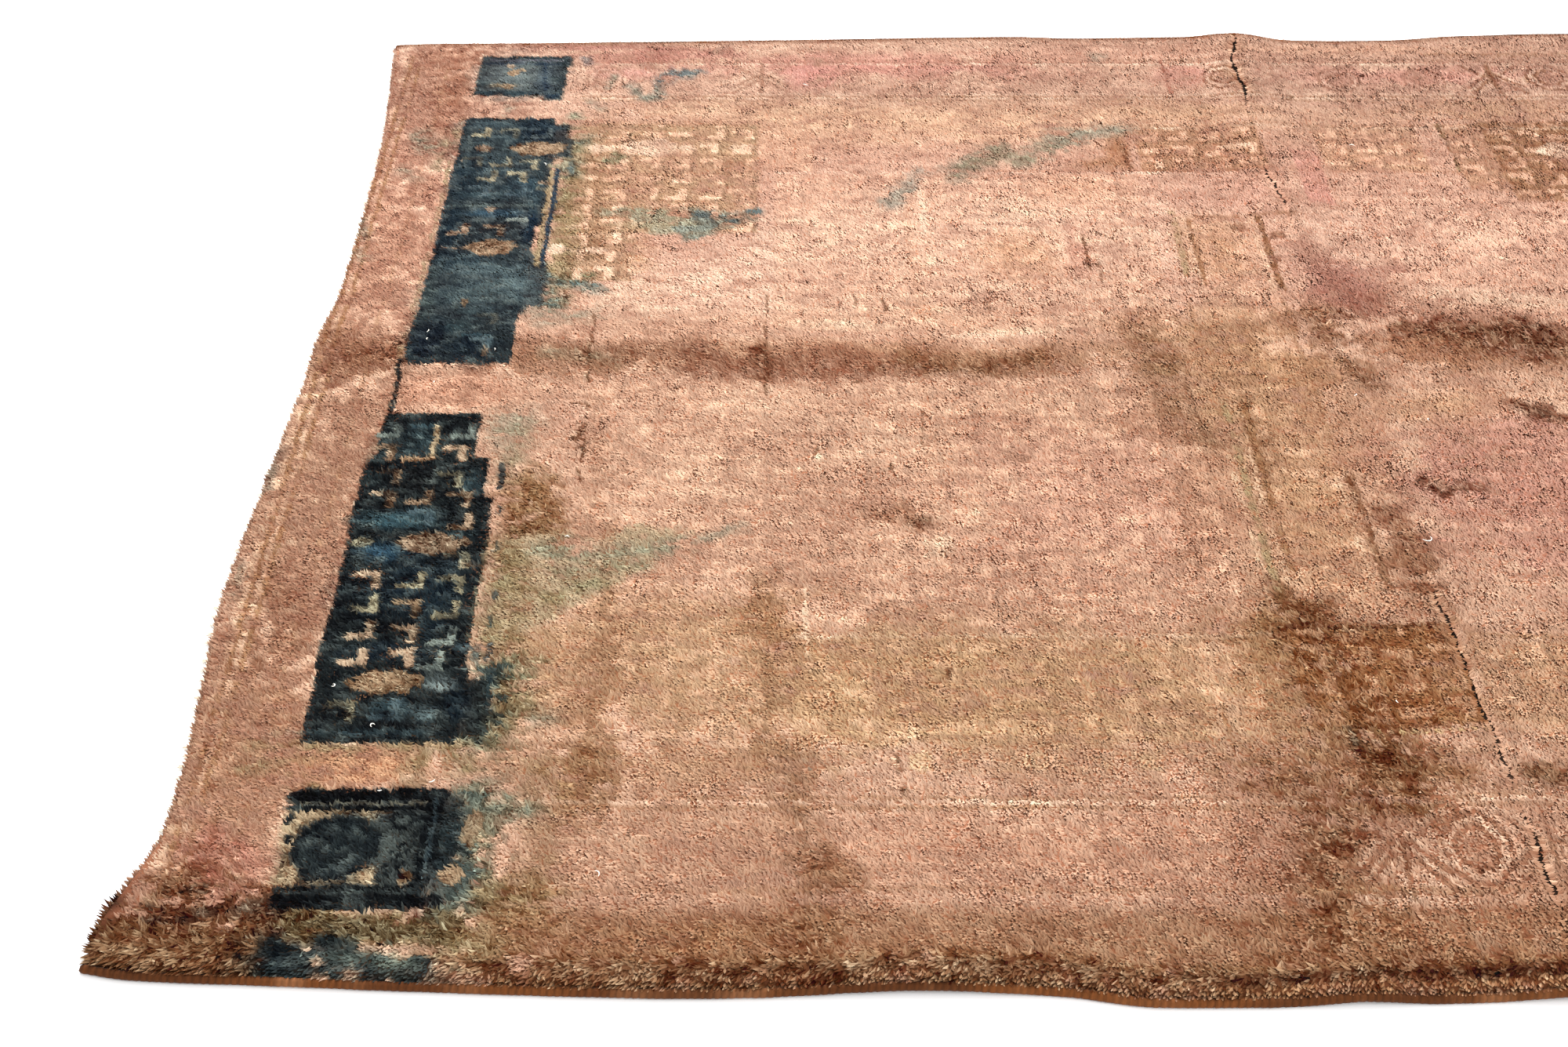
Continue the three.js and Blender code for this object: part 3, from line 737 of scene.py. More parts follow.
# %% Lines across the rug
# s, t from, to, half width, dye, strength
CREAM = rgb(0xE4B898)
UPRIGHTS = [
    (33, 120, 1940, 3, CREAM, .3), (40, 120, 1940, 2.8, BROWN, .65), (48, 120, 1940, 2.8, CREAM, .3),
    (55, 120, 1940, 2.8, BROWN, .65), (104, 140, 1900, 2.4, BROWN, .25), (146, 340, 1740, 3, OLIVE, .4),
    (1212, 560, 860, 3.8, CREAM, .55), (1224, 560, 960, 5, 0xAE8E6A, .6), (1238, 600, 860, 4, CREAM, .6),
    (1248, 620, 960, 4.6, BROWN, .8), (1224, 1260, 1440, 5, 0xB89672, .6),
    (1239, 1240, 1420, 3.8, CREAM, .6), (1246, 1240, 1420, 3, BROWN, .7),
    (1337, 1220, 1420, 4, CREAM, .65), (1348, 1220, 1420, 4.8, 0x926448, .8),
    (1336, 600, 800, 4, CREAM, .6), (1352, 580, 800, 4.8, 0x8A5E46, .8),
    (1215, 840, 1200, 2.8, BROWN, .25), (1344, 840, 1200, 2.8, BROWN, .3),
    (1278, 1800, 1930, 2.2, 0xAA6A56, .75), (1806, 1800, 1920, 2.6, 0x865A46, .8),
    (1814, 1800, 1920, 2.2, 0x8C5E48, .7), (1276, 120, 250, 2.6, 0x764E3A, .65),
    (680, 450, 600, 3, PALE, .45), (698, 780, 920, 3, PALE, .35), (860, 1380, 1500, 4, PALE, .4),
    (1131, 260, 400, 2.6, BROWN, .55), (1682, 1560, 1710, 2.8, 0x78543C, .6),
    (2560, 400, 1650, 2.8, BROWN, .45), (2672, 130, 1920, 2.8, BROWN, .45),
    (2722, 60, 1960, 2.6, PALE, .45), (2730, 60, 1960, 2.8, BROWN, .5),
]
for *place, dye, strength in UPRIGHTS:
    s0, t0, t1, half = metres(*place)
    lay(bar(s0 - half, s0 + half, t0, t1), dye, strength, wear=0.8)

# %% Main border
NEAR_BORDER_T = 0.188
FAR_BORDER_T = 1.862
RING_DARK = rgb(0x8E5C46)
# An octagon's rings: at what share of its size, how wide, dye, share of its strength
RINGS = [
    (0.90, 0.07, RING_DARK, 0.8), (0.72, 0.07, LIGHT, 0.5), (0.52, 0.08, RING_DARK, 0.9),
    (0.15, 0.20, RING_DARK, 0.4),
]
# A branching motif's arms on each side: foot and head above or below its middle
ARMS = [(-0.050, -0.008), (0.046, 0.004), (-0.030, 0.010)]

# Octagons in metres: s, t, half sizes, strength
OCTAGONS = [
    (1.352, NEAR_BORDER_T, 0.036, 0.052, 0.85), (0.900, NEAR_BORDER_T, 0.034, 0.050, 0.20),
    (1.057, NEAR_BORDER_T, 0.034, 0.050, 0.22), (1.205, NEAR_BORDER_T, 0.034, 0.050, 0.20),
    (0.600, NEAR_BORDER_T, 0.034, 0.050, 0.20), (1.370, 1.860, 0.034, 0.040, 0.90),
    (1.558, 1.856, 0.036, 0.042, 0.60), (1.698, 1.856, 0.036, 0.042, 0.45),
    (1.902, 1.864, 0.038, 0.046, 0.90), (0.365, 1.862, 0.032, 0.045, 0.40),
    (0.760, 1.862, 0.034, 0.045, 0.20), (0.960, 1.862, 0.034, 0.045, 0.20),
    (1.155, 1.862, 0.034, 0.045, 0.20),
]
OCTAGONS += [(2.08 + 0.178 * k, FAR_BORDER_T, 0.036, 0.044, 0.6) for k in range(4)]
OCTAGONS += [(1.504 + 0.152 * k, NEAR_BORDER_T, 0.036, 0.052, 0.6) for k in range(8)]

# Branching motifs in metres: s, t, strength
BRANCHES = [
    (0.980, NEAR_BORDER_T, 0.25), (0.820, NEAR_BORDER_T, 0.15), (1.130, NEAR_BORDER_T, 0.25),
    (1.276, NEAR_BORDER_T, 0.75), (1.810, FAR_BORDER_T, 0.80), (0.620, FAR_BORDER_T, 0.35),
    (1.455, FAR_BORDER_T, 0.20), (0.075, 0.185, 0.45), (0.475, NEAR_BORDER_T, 0.20),
    (1.055, FAR_BORDER_T, 0.15),
]
BRANCHES += [(1.990 + 0.178 * k, FAR_BORDER_T, 0.55) for k in range(4)]
BRANCHES += [(1.428 + 0.152 * k, NEAR_BORDER_T, 0.50) for k in range(8)]

for s0, t0, half_s, half_t, strength in OCTAGONS:
    for at, wide, dye, share in RINGS:
        lay(ring(s0, t0, half_s, half_t, at, wide), dye, share * strength, wear=0.5)
for s0, t0, strength in BRANCHES:
    lay(line([(s0, t0 - 0.050), (s0, t0 + 0.050)], 0.0030), RING_DARK, strength, wear=0.5)
    for side in (-1, 1):
        for foot, head in ARMS:
            arm = [(s0 + side * 0.044, t0 + foot), (s0 + side * 0.008, t0 + head)]
            lay(line(arm, 0.0040), RING_DARK, 0.8 * strength, wear=0.5)
            pale = [(s + side * 0.002, t + 0.009) for s, t in arm]
            lay(line(pale, 0.0032), LIGHT, 0.5 * strength, wear=0.5)

# %% Rows of small squares, and single ones
# s and t of the first, pitch along the rug, count, half sizes, dye, strength
SQUARES = [
    (955, 66, 52, 4, 10, 12, 0xE2BA9A, .5), (1240, 66, 48, 2, 9, 12, 0xBE9C7A, .45),
    (1332, 68, 54, 2, 13, 15, 0xECC0A8, .75), (1460, 66, 52, 22, 10, 12, 0xDCB092, .45),
    (800, 312, 120, 3, 12, 12, 0xE8C098, .55), (1150, 292, 100, 1, 13, 14, 0x94644C, .55),
    (1560, 305, 120, 8, 12, 14, 0xB28264, .45), (1315, 1395, 50, 1, 10, 10, 0x8C5E46, .7),
    (1367, 1365, 50, 1, 12, 10, 0x8C5C48, .7), (1352, 1300, 50, 1, 8, 10, 0x8C5E4A, .7),
    (1375, 720, 50, 1, 12, 14, 0x8C5C48, .65), (1370, 630, 50, 1, 18, 12, 0x92624A, .65),
    (1290, 1425, 80, 2, 34, 5, 0xA8765A, .6), (1290, 635, 80, 1, 45, 5, 0xA8765A, .45),
    (838, 665, 50, 1, 18, 20, PALE, .45), (1452, 1540, 50, 1, 20, 80, 0xDE9888, .45),
]
for s0, t0, pitch, count, half_s, half_t, dye, strength in SQUARES:
    s0, t0, pitch, half_s, half_t = metres(s0, t0, pitch, half_s, half_t)
    for k in range(count):
        middle = s0 + k * pitch
        lay(bar(middle - half_s, middle + half_s, t0 - half_t, t0 + half_t, 0.005), dye, strength, wear=0.4)

# %% Where the pile has parted or been crushed: fine lines of painted shade
# Points, half width, strength
PARTING_SHADE_DYE = 0x603C2A
CRUSHED = [
    ([(397, 1005), (396, 1150)], 2.2, .7), ([(392, 880), (398, 910)], 5, .75),
    ([(402, 835), (401, 880)], 2.4, .75), ([(403, 790), (402, 815)], 2.4, .7),
    ([(380, 957), (401, 954), (402, 945)], 1.4, .75), ([(377, 862), (402, 858)], 1.6, .7),
    ([(631, 980), (630, 1130)], 2.2, .55), ([(632, 1150), (632, 1215)], 1.4, .6),
    ([(350, 1175), (351, 1230)], 2.2, .7), ([(1087, 1275), (1088, 1375)], 2, .7),
    ([(1100, 1250), (1101, 1300)], 1.8, .6), ([(795, 1175), (792, 1205)], 2.2, .6),
    ([(788, 815), (787, 830)], 2.2, .65), ([(694, 845), (695, 870)], 1.6, .65),
    ([(830, 860), (833, 940)], 1.4, .5), ([(755, 1185), (753, 1215)], 1.6, .55),
    ([(455, 580), (452, 600)], 1.8, .65), ([(936, 1175), (934, 1205)], 1.4, .6),
    ([(1180, 1560), (1178, 1640)], 3, .5), ([(1215, 1005), (1250, 1020)], 1.6, .75),
    ([(745, 1000), (790, 1045)], 2, .45), ([(838, 455), (836, 440)], 3, .7),
    ([(770, 440), (768, 432)], 2.8, .6), ([(776, 300), (774, 320)], 3, .65),
    ([(781, 275), (779, 268)], 3, .65), ([(350, 545), (352, 560)], 1.6, .55),
    ([(1183, 910), (1185, 930)], 2, .5), ([(1446, 1770), (1475, 1800)], 1.8, .45),
]
for points, half, strength in CRUSHED:
    lay(line(path(points), half / 1000, 0.0025), PARTING_SHADE_DYE, strength, wear=0.3)

# %% [markdown]
# ## What is left of the indigo
#
# Near the left end the old border kept its indigo. Five blocks of it stand in a row, with a pink gap
# between the two mazes. Inside them the key hooks and lozenges are peach where the dye took and grey
# where it didn't, and at the right the blue runs out into the ground as green and grey stains.

# %% Stains that ran out of the blue
# Points, half width, soft edge, dye, strength
STAINS = [
    ([(335, 1200), (345, 1300), (335, 1420)], 20, 30, OLIVE, .6),
    ([(325, 1220), (330, 1180)], 18, 22, 0x5C6E6A, .75),
    ([(325, 1440), (335, 1560)], 16, 24, 0x7A7052, .65),
    ([(325, 1590), (350, 1660)], 14, 24, 0x70705A, .55), ([(335, 350), (345, 450)], 24, 24, 0x546254, .8),
    ([(320, 300), (300, 335)], 14, 22, OLIVE, .7),
    ([(330, 120), (345, 190), (335, 260)], 24, 26, 0x586862, .8),
    ([(300, 95), (360, 60)], 22, 26, 0x6C6A4E, .8), ([(180, 90), (330, 92)], 18, 18, 0x5C503A, .9),
    ([(320, 500), (335, 640)], 18, 26, 0x7E7456, .6), ([(310, 800), (325, 900)], 14, 22, 0x8C8068, .5),
    ([(350, 420), (340, 360)], 18, 16, OLIVE, .8), ([(330, 440), (330, 360)], 20, 12, 0x465C5C, .8),
    ([(370, 400), (380, 385)], 10, 16, OLIVE, .4), ([(388, 376), (398, 378)], 9, 12, TEAL, .45),
    ([(300, 340), (160, 330)], 9, 14, OLIVE, .55), ([(275, 330), (265, 280)], 14, 14, OLIVE, .55),
    ([(150, 330), (100, 305), (90, 300)], 8, 16, OLIVE, .65),
    ([(90, 335), (130, 350)], 8, 14, OLIVE, .45), ([(145, 285), (160, 275)], 10, 10, OLIVE, .7),
    ([(310, 250), (360, 245), (400, 240)], 10, 12, TEAL, .65),
    ([(345, 225), (380, 230)], 8, 10, GREY, .6),
    ([(325, 190), (335, 140), (350, 120)], 20, 18, 0x526868, .75),
    ([(360, 130), (385, 105), (360, 80)], 18, 22, OLIVE, .65),
    ([(180, 96), (250, 92), (320, 95), (345, 75)], 10, 14, 0x766244, .7),
    ([(245, 110), (245, 75)], 7, 10, 0x46504A, .75),
    ([(360, 660), (440, 652), (520, 668)], 14, 16, 0x92907E, .65),
    ([(385, 620), (490, 632)], 11, 14, 0x8C8670, .65), ([(385, 575), (440, 605)], 14, 18, 0x8C8468, .5),
    ([(345, 530), (385, 560)], 14, 20, OLIVE, .45),
    ([(515, 665), (560, 680), (605, 705)], 5, 10, GREY, .55),
    ([(325, 680), (345, 600), (330, 520)], 18, 20, OLIVE, .45),
    ([(290, 920), (300, 870), (320, 930)], 16, 20, GREY, .45),
    ([(310, 1160), (330, 1130), (400, 1160)], 14, 22, GREY, .4),
    ([(340, 1060), (430, 1050)], 10, 20, GREY, .3),
    ([(325, 1245), (360, 1242), (395, 1236)], 12, 14, 0x5C7676, .85),
    ([(350, 1262), (385, 1262)], 9, 10, 0x686C54, .7),
    ([(325, 1290), (335, 1360), (345, 1420)], 14, 18, 0xB0A074, .45),
    ([(390, 1438), (450, 1436), (520, 1434)], 12, 12, 0x8C8E78, .65),
    ([(420, 1400), (520, 1405)], 14, 20, 0xA89876, .4),
    ([(525, 1430), (570, 1424), (588, 1418)], 14, 10, 0x5C6E70, .8),
    ([(530, 1405), (560, 1400)], 10, 12, 0x6E7872, .65), ([(520, 1375), (545, 1380)], 10, 12, GREY, .6),
    ([(606, 1438), (616, 1438)], 7, 7, 0x5C7074, .9), ([(385, 1590), (398, 1600)], 12, 12, 0x707A64, .75),
    ([(325, 1600), (330, 1550)], 10, 12, 0x566868, .75),
    ([(320, 1700), (325, 1735)], 10, 14, 0x96927C, .65), ([(330, 1650), (350, 1655)], 8, 12, TEAL, .6),
    ([(215, 1740), (218, 1760)], 6, 10, GREY, .5), ([(345, 1780), (365, 1760)], 6, 12, GREY, .45),
    ([(138, 1680), (130, 1640), (128, 1570)], 10, 18, 0x7A7058, .55),
    ([(85, 1670), (105, 1630)], 16, 20, TEAL, .7), ([(75, 1560), (95, 1540)], 12, 18, GREY, .35),
    ([(35, 1420), (50, 1370)], 9, 12, 0x807468, .55), ([(45, 1330), (55, 1310)], 7, 12, GREY, .4),
    ([(23, 860), (20, 780)], 5, 8, 0x646464, .5), ([(20, 640), (22, 580)], 5, 8, 0x6E6E68, .4),
    ([(803, 1468), (822, 1470)], 6, 10, GREY, .6),
    ([(815, 1470), (840, 1505), (855, 1550)], 14, 20, 0x9E968A, .7),
    ([(915, 1550), (940, 1580), (985, 1625)], 18, 22, 0x868070, .75),
    ([(960, 1590), (1010, 1612)], 16, 24, 0x9E8C76, .6),
    ([(1020, 1600), (1060, 1635), (1090, 1655)], 20, 22, 0x968E7A, .7),
    ([(1085, 1660), (1130, 1678), (1175, 1690)], 18, 20, 0x9E9888, .75),
    ([(408, 1835), (425, 1800), (450, 1795)], 10, 12, 0x80827A, .65),
    ([(452, 1800), (452, 1850)], 6, 8, 0x686E6C, .75),
    ([(452, 1855), (475, 1880), (505, 1880)], 13, 12, 0x6E7A7E, .8),
    ([(325, 1935), (332, 1915)], 6, 8, 0x6E6E78, .65), ([(372, 1830), (378, 1870)], 5, 10, 0x968C7C, .55),
    ([(1165, 1935), (1180, 1945)], 10, 14, GREY, .5), ([(679, 302), (680, 312)], 2.6, 3, SLATE, .9),
]
# Three stains run to a point: corners, soft edge, dye, wear
WEDGES = [
    ([(330, 490), (555, 690), (320, 700)], 20, 0xB89A7C, 1.0),
    ([(470, 1375), (612, 1425), (420, 1446)], 14, 0xA69A82, 1.2),
    ([(510, 1355), (612, 1425), (500, 1446)], 14, 0x828478, 1.2),
]
for corners, soft, dye, wear in WEDGES:
    lay(wedge(path(corners), soft / 1000), dye, 0.65, wear)

STAIN_SPREAD = 2.0
STAIN_STRENGTH = 1.15
STAIN_WARM = rgb(0xA07C5E)
STAIN_WARM_SHARE = 0.18
for points, half, soft, dye, strength in STAINS:
    stain = line(path(points), half / 1000, STAIN_SPREAD * soft / 1000, ragged=0.8)
    warmed = rgb(dye) + STAIN_WARM_SHARE * (STAIN_WARM - rgb(dye))
    lay(stain, warmed, STAIN_STRENGTH * strength, wear=0.9)

# %% Indigo ground of each block
# s from, to, t from, to, soft edge, strength
BLOCKS = [
    (156, 300, 1803, 1940, 6, .95), (270, 300, 1786, 1810, 6, .9), (285, 306, 1900, 1935, 8, .8),
    (152, 293, 1040, 1726, 3, 1), (240, 296, 1655, 1718, 3, 1), (280, 318, 1655, 1705, 10, .85),
    (290, 328, 1600, 1660, 12, .85), (285, 302, 1400, 1600, 6, .9), (290, 320, 1180, 1300, 12, .9),
    (285, 308, 1295, 1330, 10, .85), (280, 300, 1155, 1190, 12, .85), (133, 287, 740, 840, 4, 1),
    (143, 268, 820, 934, 4, 1), (132, 300, 690, 760, 6, 1), (136, 302, 455, 700, 4, 1),
    (140, 306, 340, 460, 5, 1), (300, 330, 350, 440, 14, .8), (150, 300, 112, 272, 8, .9),
    (290, 325, 150, 262, 20, .75), (175, 190, 12, 30, 10, .8),
]
for *place, strength in BLOCKS:
    lay(bar(*metres(*place)), BLUE, strength, wear=0.05)
# Brown has come through between the last two
BROWN_GAP = (172, 335, 70, 104, 24)
lay(bar(*metres(*BROWN_GAP)), 0x68543A, 0.85, wear=0.5)

# Nearer than the pink gap the blocks are darker, the one nearest the camera less so than the rest
GAP_T = 0.97
NEAR_BLOCK_T = 0.30
NEAR_DARKER = 0.20
REST_DARKER = 0.22
in_blue = edge(0.42 - chart[..., 0], 0.10) * edge(GAP_T - cell_t, 0.02)
chart *= 1 - (in_blue * (NEAR_DARKER + REST_DARKER * edge(cell_t - NEAR_BLOCK_T, 0.02)))[..., None]

# The last block is only tatters: centre, reach
TATTER_DYE = 0x222B2F
TATTERS = [
    (162, 47, 34, 34), (190, 40, 44, 30), (225, 50, 44, 34), (262, 38, 50, 26), (302, 38, 36, 22),
    (212, 68, 20, 18),
]
for place in TATTERS:
    lay(oval(*metres(*place), ragged=0.9), TATTER_DYE, 0.92, wear=0.4)

# Paler and darker clouds in the blue: centre, reach, dye, strength
CLOUDS = [
    (245, 1255, 60, 50, 0x62767A, .8), (280, 1225, 36, 36, 0x5C7074, .6), (215, 1210, 40, 30, SLATE, .6),
    (250, 1165, 30, 20, SLATE, .5), (205, 1500, 45, 30, 0x465C62, .5), (230, 1435, 70, 12, 0x3A5668, .6),
    (225, 1457, 75, 7, 0x78847E, .6), (210, 1560, 50, 12, SLATE, .4), (200, 1600, 40, 16, 0x425860, .45),
    (215, 1655, 40, 20, 0x425A64, .5), (190, 1705, 40, 14, 0x405662, .55),
    (270, 1520, 30, 40, 0x3C5460, .45), (160, 1160, 10, 120, 0x46544E, .45),
    (285, 1480, 12, 100, SLATE, .35), (195, 1300, 40, 20, 0x3A5058, .5),
    (210, 1130, 30, 30, 0x42585C, .55), (175, 1085, 26, 45, 0x0E1622, .9),
    (235, 1070, 36, 30, 0x121C26, .8), (268, 1690, 28, 32, 0x122436, .9),
    (175, 1545, 26, 50, 0x14222C, .8), (170, 1390, 16, 90, 0x16242E, .7),
    (285, 1400, 12, 50, 0x122234, .8), (190, 715, 50, 22, 0x3E5A64, .7), (180, 655, 36, 24, 0x3A5A70, .7),
    (250, 690, 40, 12, 0x405256, .5), (195, 880, 26, 36, 0x485C62, .55), (150, 830, 16, 60, 0x324246, .4),
    (270, 790, 16, 30, SLATE, .45), (278, 430, 18, 12, 0x8C9694, .75), (265, 385, 20, 16, 0x708082, .65),
    (225, 393, 26, 12, SLATE, .6), (220, 355, 80, 6, SLATE, .5), (300, 395, 20, 30, 0x121E28, .7),
    (210, 485, 70, 20, 0x101C28, .6), (220, 600, 70, 60, 0x14222E, .55), (255, 540, 20, 60, 0x16242E, .5),
    (225, 195, 70, 50, 0x646E6C, .85), (262, 190, 34, 52, 0x7E8682, .85),
    (312, 185, 28, 70, 0x303E44, .75), (330, 150, 20, 40, 0x606862, .6),
    (215, 1700, 70, 20, 0x586464, .6), (200, 1640, 50, 30, 0x5C6866, .5),
    (215, 1590, 70, 40, 0x4A5658, .5), (230, 1220, 80, 80, 0x606C6A, .5),
    (220, 1870, 80, 70, 0x707472, .75), (270, 1830, 30, 40, 0x303A42, .6),
    (250, 52, 60, 20, 0x58625C, .7), (165, 48, 26, 22, 0x1E2A30, .85), (285, 40, 30, 14, 0x686C60, .6),
    (225, 1860, 50, 30, 0x707674, .55), (265, 1870, 22, 50, 0x58646C, .6),
    (220, 1920, 50, 12, 0x60626C, .55), (200, 1838, 36, 10, 0x8C7660, .55),
    (205, 1810, 45, 8, 0x1C303A, .8), (285, 1800, 16, 12, 0x1E2E3E, .8),
]
for *place, dye, strength in CLOUDS:
    lay(oval(*metres(*place), ragged=0.55), dye, strength, wear=0.5)

# %% Key hooks, lozenges and spots in the blue
SHADES = {
    "peach": 0xB8967C, "orange": 0xA8886C, "olive": 0x968C76,
    "grey": 0x868C84, "slate": 0x54646A, "pale": PALE,
}
# Key hooks: s, t, kind, dye, strength
HOOKS = [
    (182, 1682, "J", "olive", .9), (226, 1676, "7", "olive", .6), (277, 1677, "J", "grey", .7),
    (178, 1587, "7", "olive", .75), (223, 1587, "J", "olive", .8), (266, 1578, "7", "olive", .75),
    (312, 1585, "J", "olive", .7), (205, 1545, "J", "olive", .75), (252, 1541, "7", "olive", .75),
    (300, 1532, "J", "peach", .6), (197, 1500, "7", "slate", .8), (253, 1500, "J", "slate", .8),
    (298, 1494, "7", "olive", .6), (213, 1437, "7", "slate", .7), (264, 1406, "7", "grey", .9),
    (181, 1389, "J", "peach", .75), (232, 1386, "7", "peach", .85), (250, 1140, "7", "olive", .55),
    (250, 1078, "7", "slate", .8), (152, 898, "J", "grey", .9), (248, 896, "J", "grey", .7),
    (150, 852, "7", "peach", .8), (243, 850, "7", "peach", .75), (165, 802, "7", "peach", .8),
    (212, 803, "J", "grey", .6), (243, 795, "7", "olive", .7), (164, 757, "7", "peach", .8),
    (208, 763, "J", "peach", .85), (258, 757, "7", "peach", .75), (216, 722, "7", "slate", .9),
    (265, 714, "J", "peach", .8), (268, 640, "7", "olive", .85), (170, 605, "7", "peach", .85),
    (222, 605, "J", "olive", .95), (268, 598, "7", "olive", .75), (174, 564, "J", "olive", .95),
    (222, 556, "7", "orange", .75), (268, 554, "J", "olive", .85), (176, 520, "J", "peach", .85),
    (226, 512, "7", "peach", .8), (270, 508, "J", "grey", .9), (175, 475, "J", "peach", .95),
    (228, 472, "7", "peach", .95), (262, 468, "J", "grey", .9), (175, 388, "7", "olive", .75),
    (222, 390, "J", "slate", .95), (292, 643, "J", "peach", .45), (300, 478, "7", "slate", .6),
]
# Lozenges and spots: s, t, half sizes, dye, strength
LOZENGES = [
    (275, 1628, 43, 21, "orange", .9), (305, 1640, 16, 8, "orange", .6),
    (190, 1630, 12, 12, "peach", .75), (234, 1338, 37, 22, "orange", 1),
    (305, 1328, 11, 14, "orange", .95), (304, 1376, 10, 8, "peach", .8), (236, 673, 40, 21, "peach", .85),
    (153, 674, 14, 10, "olive", .75), (216, 434, 42, 19, "orange", .95), (222, 1447, 7, 8, "peach", .7),
    (214, 1192, 4, 14, "orange", .7), (258, 1064, 4, 10, "peach", .6), (240, 151, 7, 8, "orange", .85),
    (278, 150, 6, 12, "orange", .75), (324, 156, 14, 12, "orange", .95),
    (338, 215, 10, 24, "orange", .75), (213, 1882, 10, 12, "orange", .9),
    (223, 1890, 10, 6, "orange", .8), (206, 1905, 8, 8, "peach", .7), (208, 1834, 10, 9, "orange", .75),
    (162, 1592, 3, 4, "peach", .5), (450, 1632, 48, 26, "pale", .7), (375, 1630, 24, 12, "pale", .6),
    (505, 1630, 14, 10, "pale", .55), (590, 1632, 20, 10, "pale", .5), (330, 1334, 14, 14, "pale", .75),
    (385, 1332, 18, 10, "pale", .65), (1845, 1622, 34, 22, "pale", .8), (1355, 1630, 30, 10, "pale", .4),
]
for s, t, kind, shade, strength in HOOKS:
    lay(hook(*metres(s, t), kind), SHADES[shade], strength, wear=0.35)
for *place, shade, strength in LOZENGES:
    lay(lozenge(*metres(*place)), SHADES[shade], strength, wear=0.15)

# %% Fine lines in the blue, and the border block nearest the camera
DISC = metres(203, 190)
DISC_EYE = 0.012
SCROLL = [(252, 226), (258, 236), (272, 236), (276, 226), (268, 218), (258, 220), (254, 228)]
# Points, half width, dye, strength
STROKES = [
    ([(225, 1130), (225, 1225)], 46, INDIGO, .12), ([(304, 1290), (304, 1560)], 4, 0xB09874, .8),
    ([(312.5, 1295), (312.5, 1565)], 3.4, 0x223040, .9), ([(152, 1339), (200, 1337)], 1.6, 0x967A68, .8),
    ([(152, 1455), (295, 1456)], 2.2, 0x808A82, .5), ([(220, 1098), (262, 1096)], 2.2, SLATE, .8),
    ([(148, 940), (147, 1045)], 3, INDIGO, .9), ([(180, 907), (212, 905)], 3.5, SLATE, .8),
    ([(215, 906), (215, 842)], 4.2, 0xB09476, .85), ([(180, 838), (216, 838)], 4, 0xBE9270, .85),
    ([(306, 780), (305, 825)], 3.6, 0x3A3A3A, .85), ([(312, 730), (312, 740)], 3, 0x3C3E3E, .8),
    ([(313, 660), (313, 672)], 3, 0x424644, .75), ([(322, 572), (322, 584)], 3, 0x3C4444, .85),
    ([(323, 525), (323, 540)], 2.8, 0x464E4A, .75), ([(324, 470), (325, 494)], 3, 0x384248, .85),
    ([(334, 385), (332, 452)], 3.4, 0x283438, .85), ([(300, 680), (301, 500)], 2.6, 0x78705A, .4),
    ([(150, 262), (300, 265)], 8.5, INDIGO, .95), ([(150, 251.5), (292, 252)], 2.2, 0x968C76, .55),
    ([(146, 244.5), (300, 246)], 3, INDIGO, .95), ([(150, 239), (250, 239)], 3, 0xB09274, .5),
    ([(158, 138.5), (300, 140)], 2.4, INDIGO, .9), ([(158, 132.5), (300, 133)], 1.8, 0x606C6C, .7),
    ([(158, 120), (312, 120)], 9.5, INDIGO, .92), ([(166, 144.5), (240, 144.5)], 3, 0x96826C, .55),
    ([(290, 140), (290, 258)], 3.6, INDIGO, .85), ([(297, 150), (297, 256)], 2, 0x60727A, .8),
    ([(303, 150), (302, 256)], 3.2, INDIGO, .75), (SCROLL, 2.4, INDIGO, .9),
    ([(252, 150), (262, 160), (280, 176)], 3, INDIGO, .8),
    ([(256, 166), (268, 178), (282, 196)], 2.8, INDIGO, .75),
    ([(262, 186), (272, 196), (284, 212)], 2.6, INDIGO, .7), ([(276, 226), (284, 234)], 2.4, INDIGO, .8),
    ([(150, 226), (152, 236)], 3.4, INDIGO, .9), ([(154, 198), (155, 207)], 3, INDIGO, .9),
    ([(168, 1928), (290, 1925)], 2.4, 0x78707A, .6), ([(160, 1915), (285, 1912)], 3, 0x1E2A3A, .6),
    ([(160, 1822), (285, 1820)], 1.6, 0x6E7874, .6), ([(270, 1820), (262, 1915)], 3, 0x243244, .6),
]
# Worn ground beside the disc: s from, to, t from, to, soft edge, strength
CORNER_DYE = 0xB09274
CORNER_GROUND = [(146, 174, 140, 240, 12, .65), (160, 240, 228, 240, 10, .6), (225, 250, 145, 165, 14, .45)]
# The disc itself and its rings: at what share of the radius, how wide, dye, strength, wear
DISC_RADIUS = 0.043
DISC_RINGS = [
    (0, 1, 0x323C41, .95, .15), (.93, .08, INDIGO, .5, 1), (.74, .08, 0x606A6A, .26, 1.6),
    (.4, .1, INDIGO, .26, 1.6),
]
for *place, strength in CORNER_GROUND:
    lay(bar(*metres(*place)), CORNER_DYE, strength, wear=0.8)
for at, wide, dye, strength, wear in DISC_RINGS:
    lay(round_ring(*DISC, DISC_RADIUS, at, wide), dye, strength, wear)
lay(oval(*DISC, DISC_EYE, DISC_EYE, ragged=0.9), 0x5C6A6C, 0.34, wear=1.2)
for points, half, dye, strength in STROKES:
    lay(line(path(points), half / 1000, 0.0028), dye, strength, wear=0.2)


def bluish(dyes):
    """1 where the wool is still bluer than it is red."""
    return smooth_rise((dyes[..., 2] - 0.96 * dyes[..., 0]) / 0.04)


# What is blue in the block nearest the camera is darkened once more, with the clouds and strokes in it
BLUE_DARKER = 0.36
chart *= 1 - BLUE_DARKER * (bluish(chart) * edge(0.28 - cell_t, 0.02))[..., None]
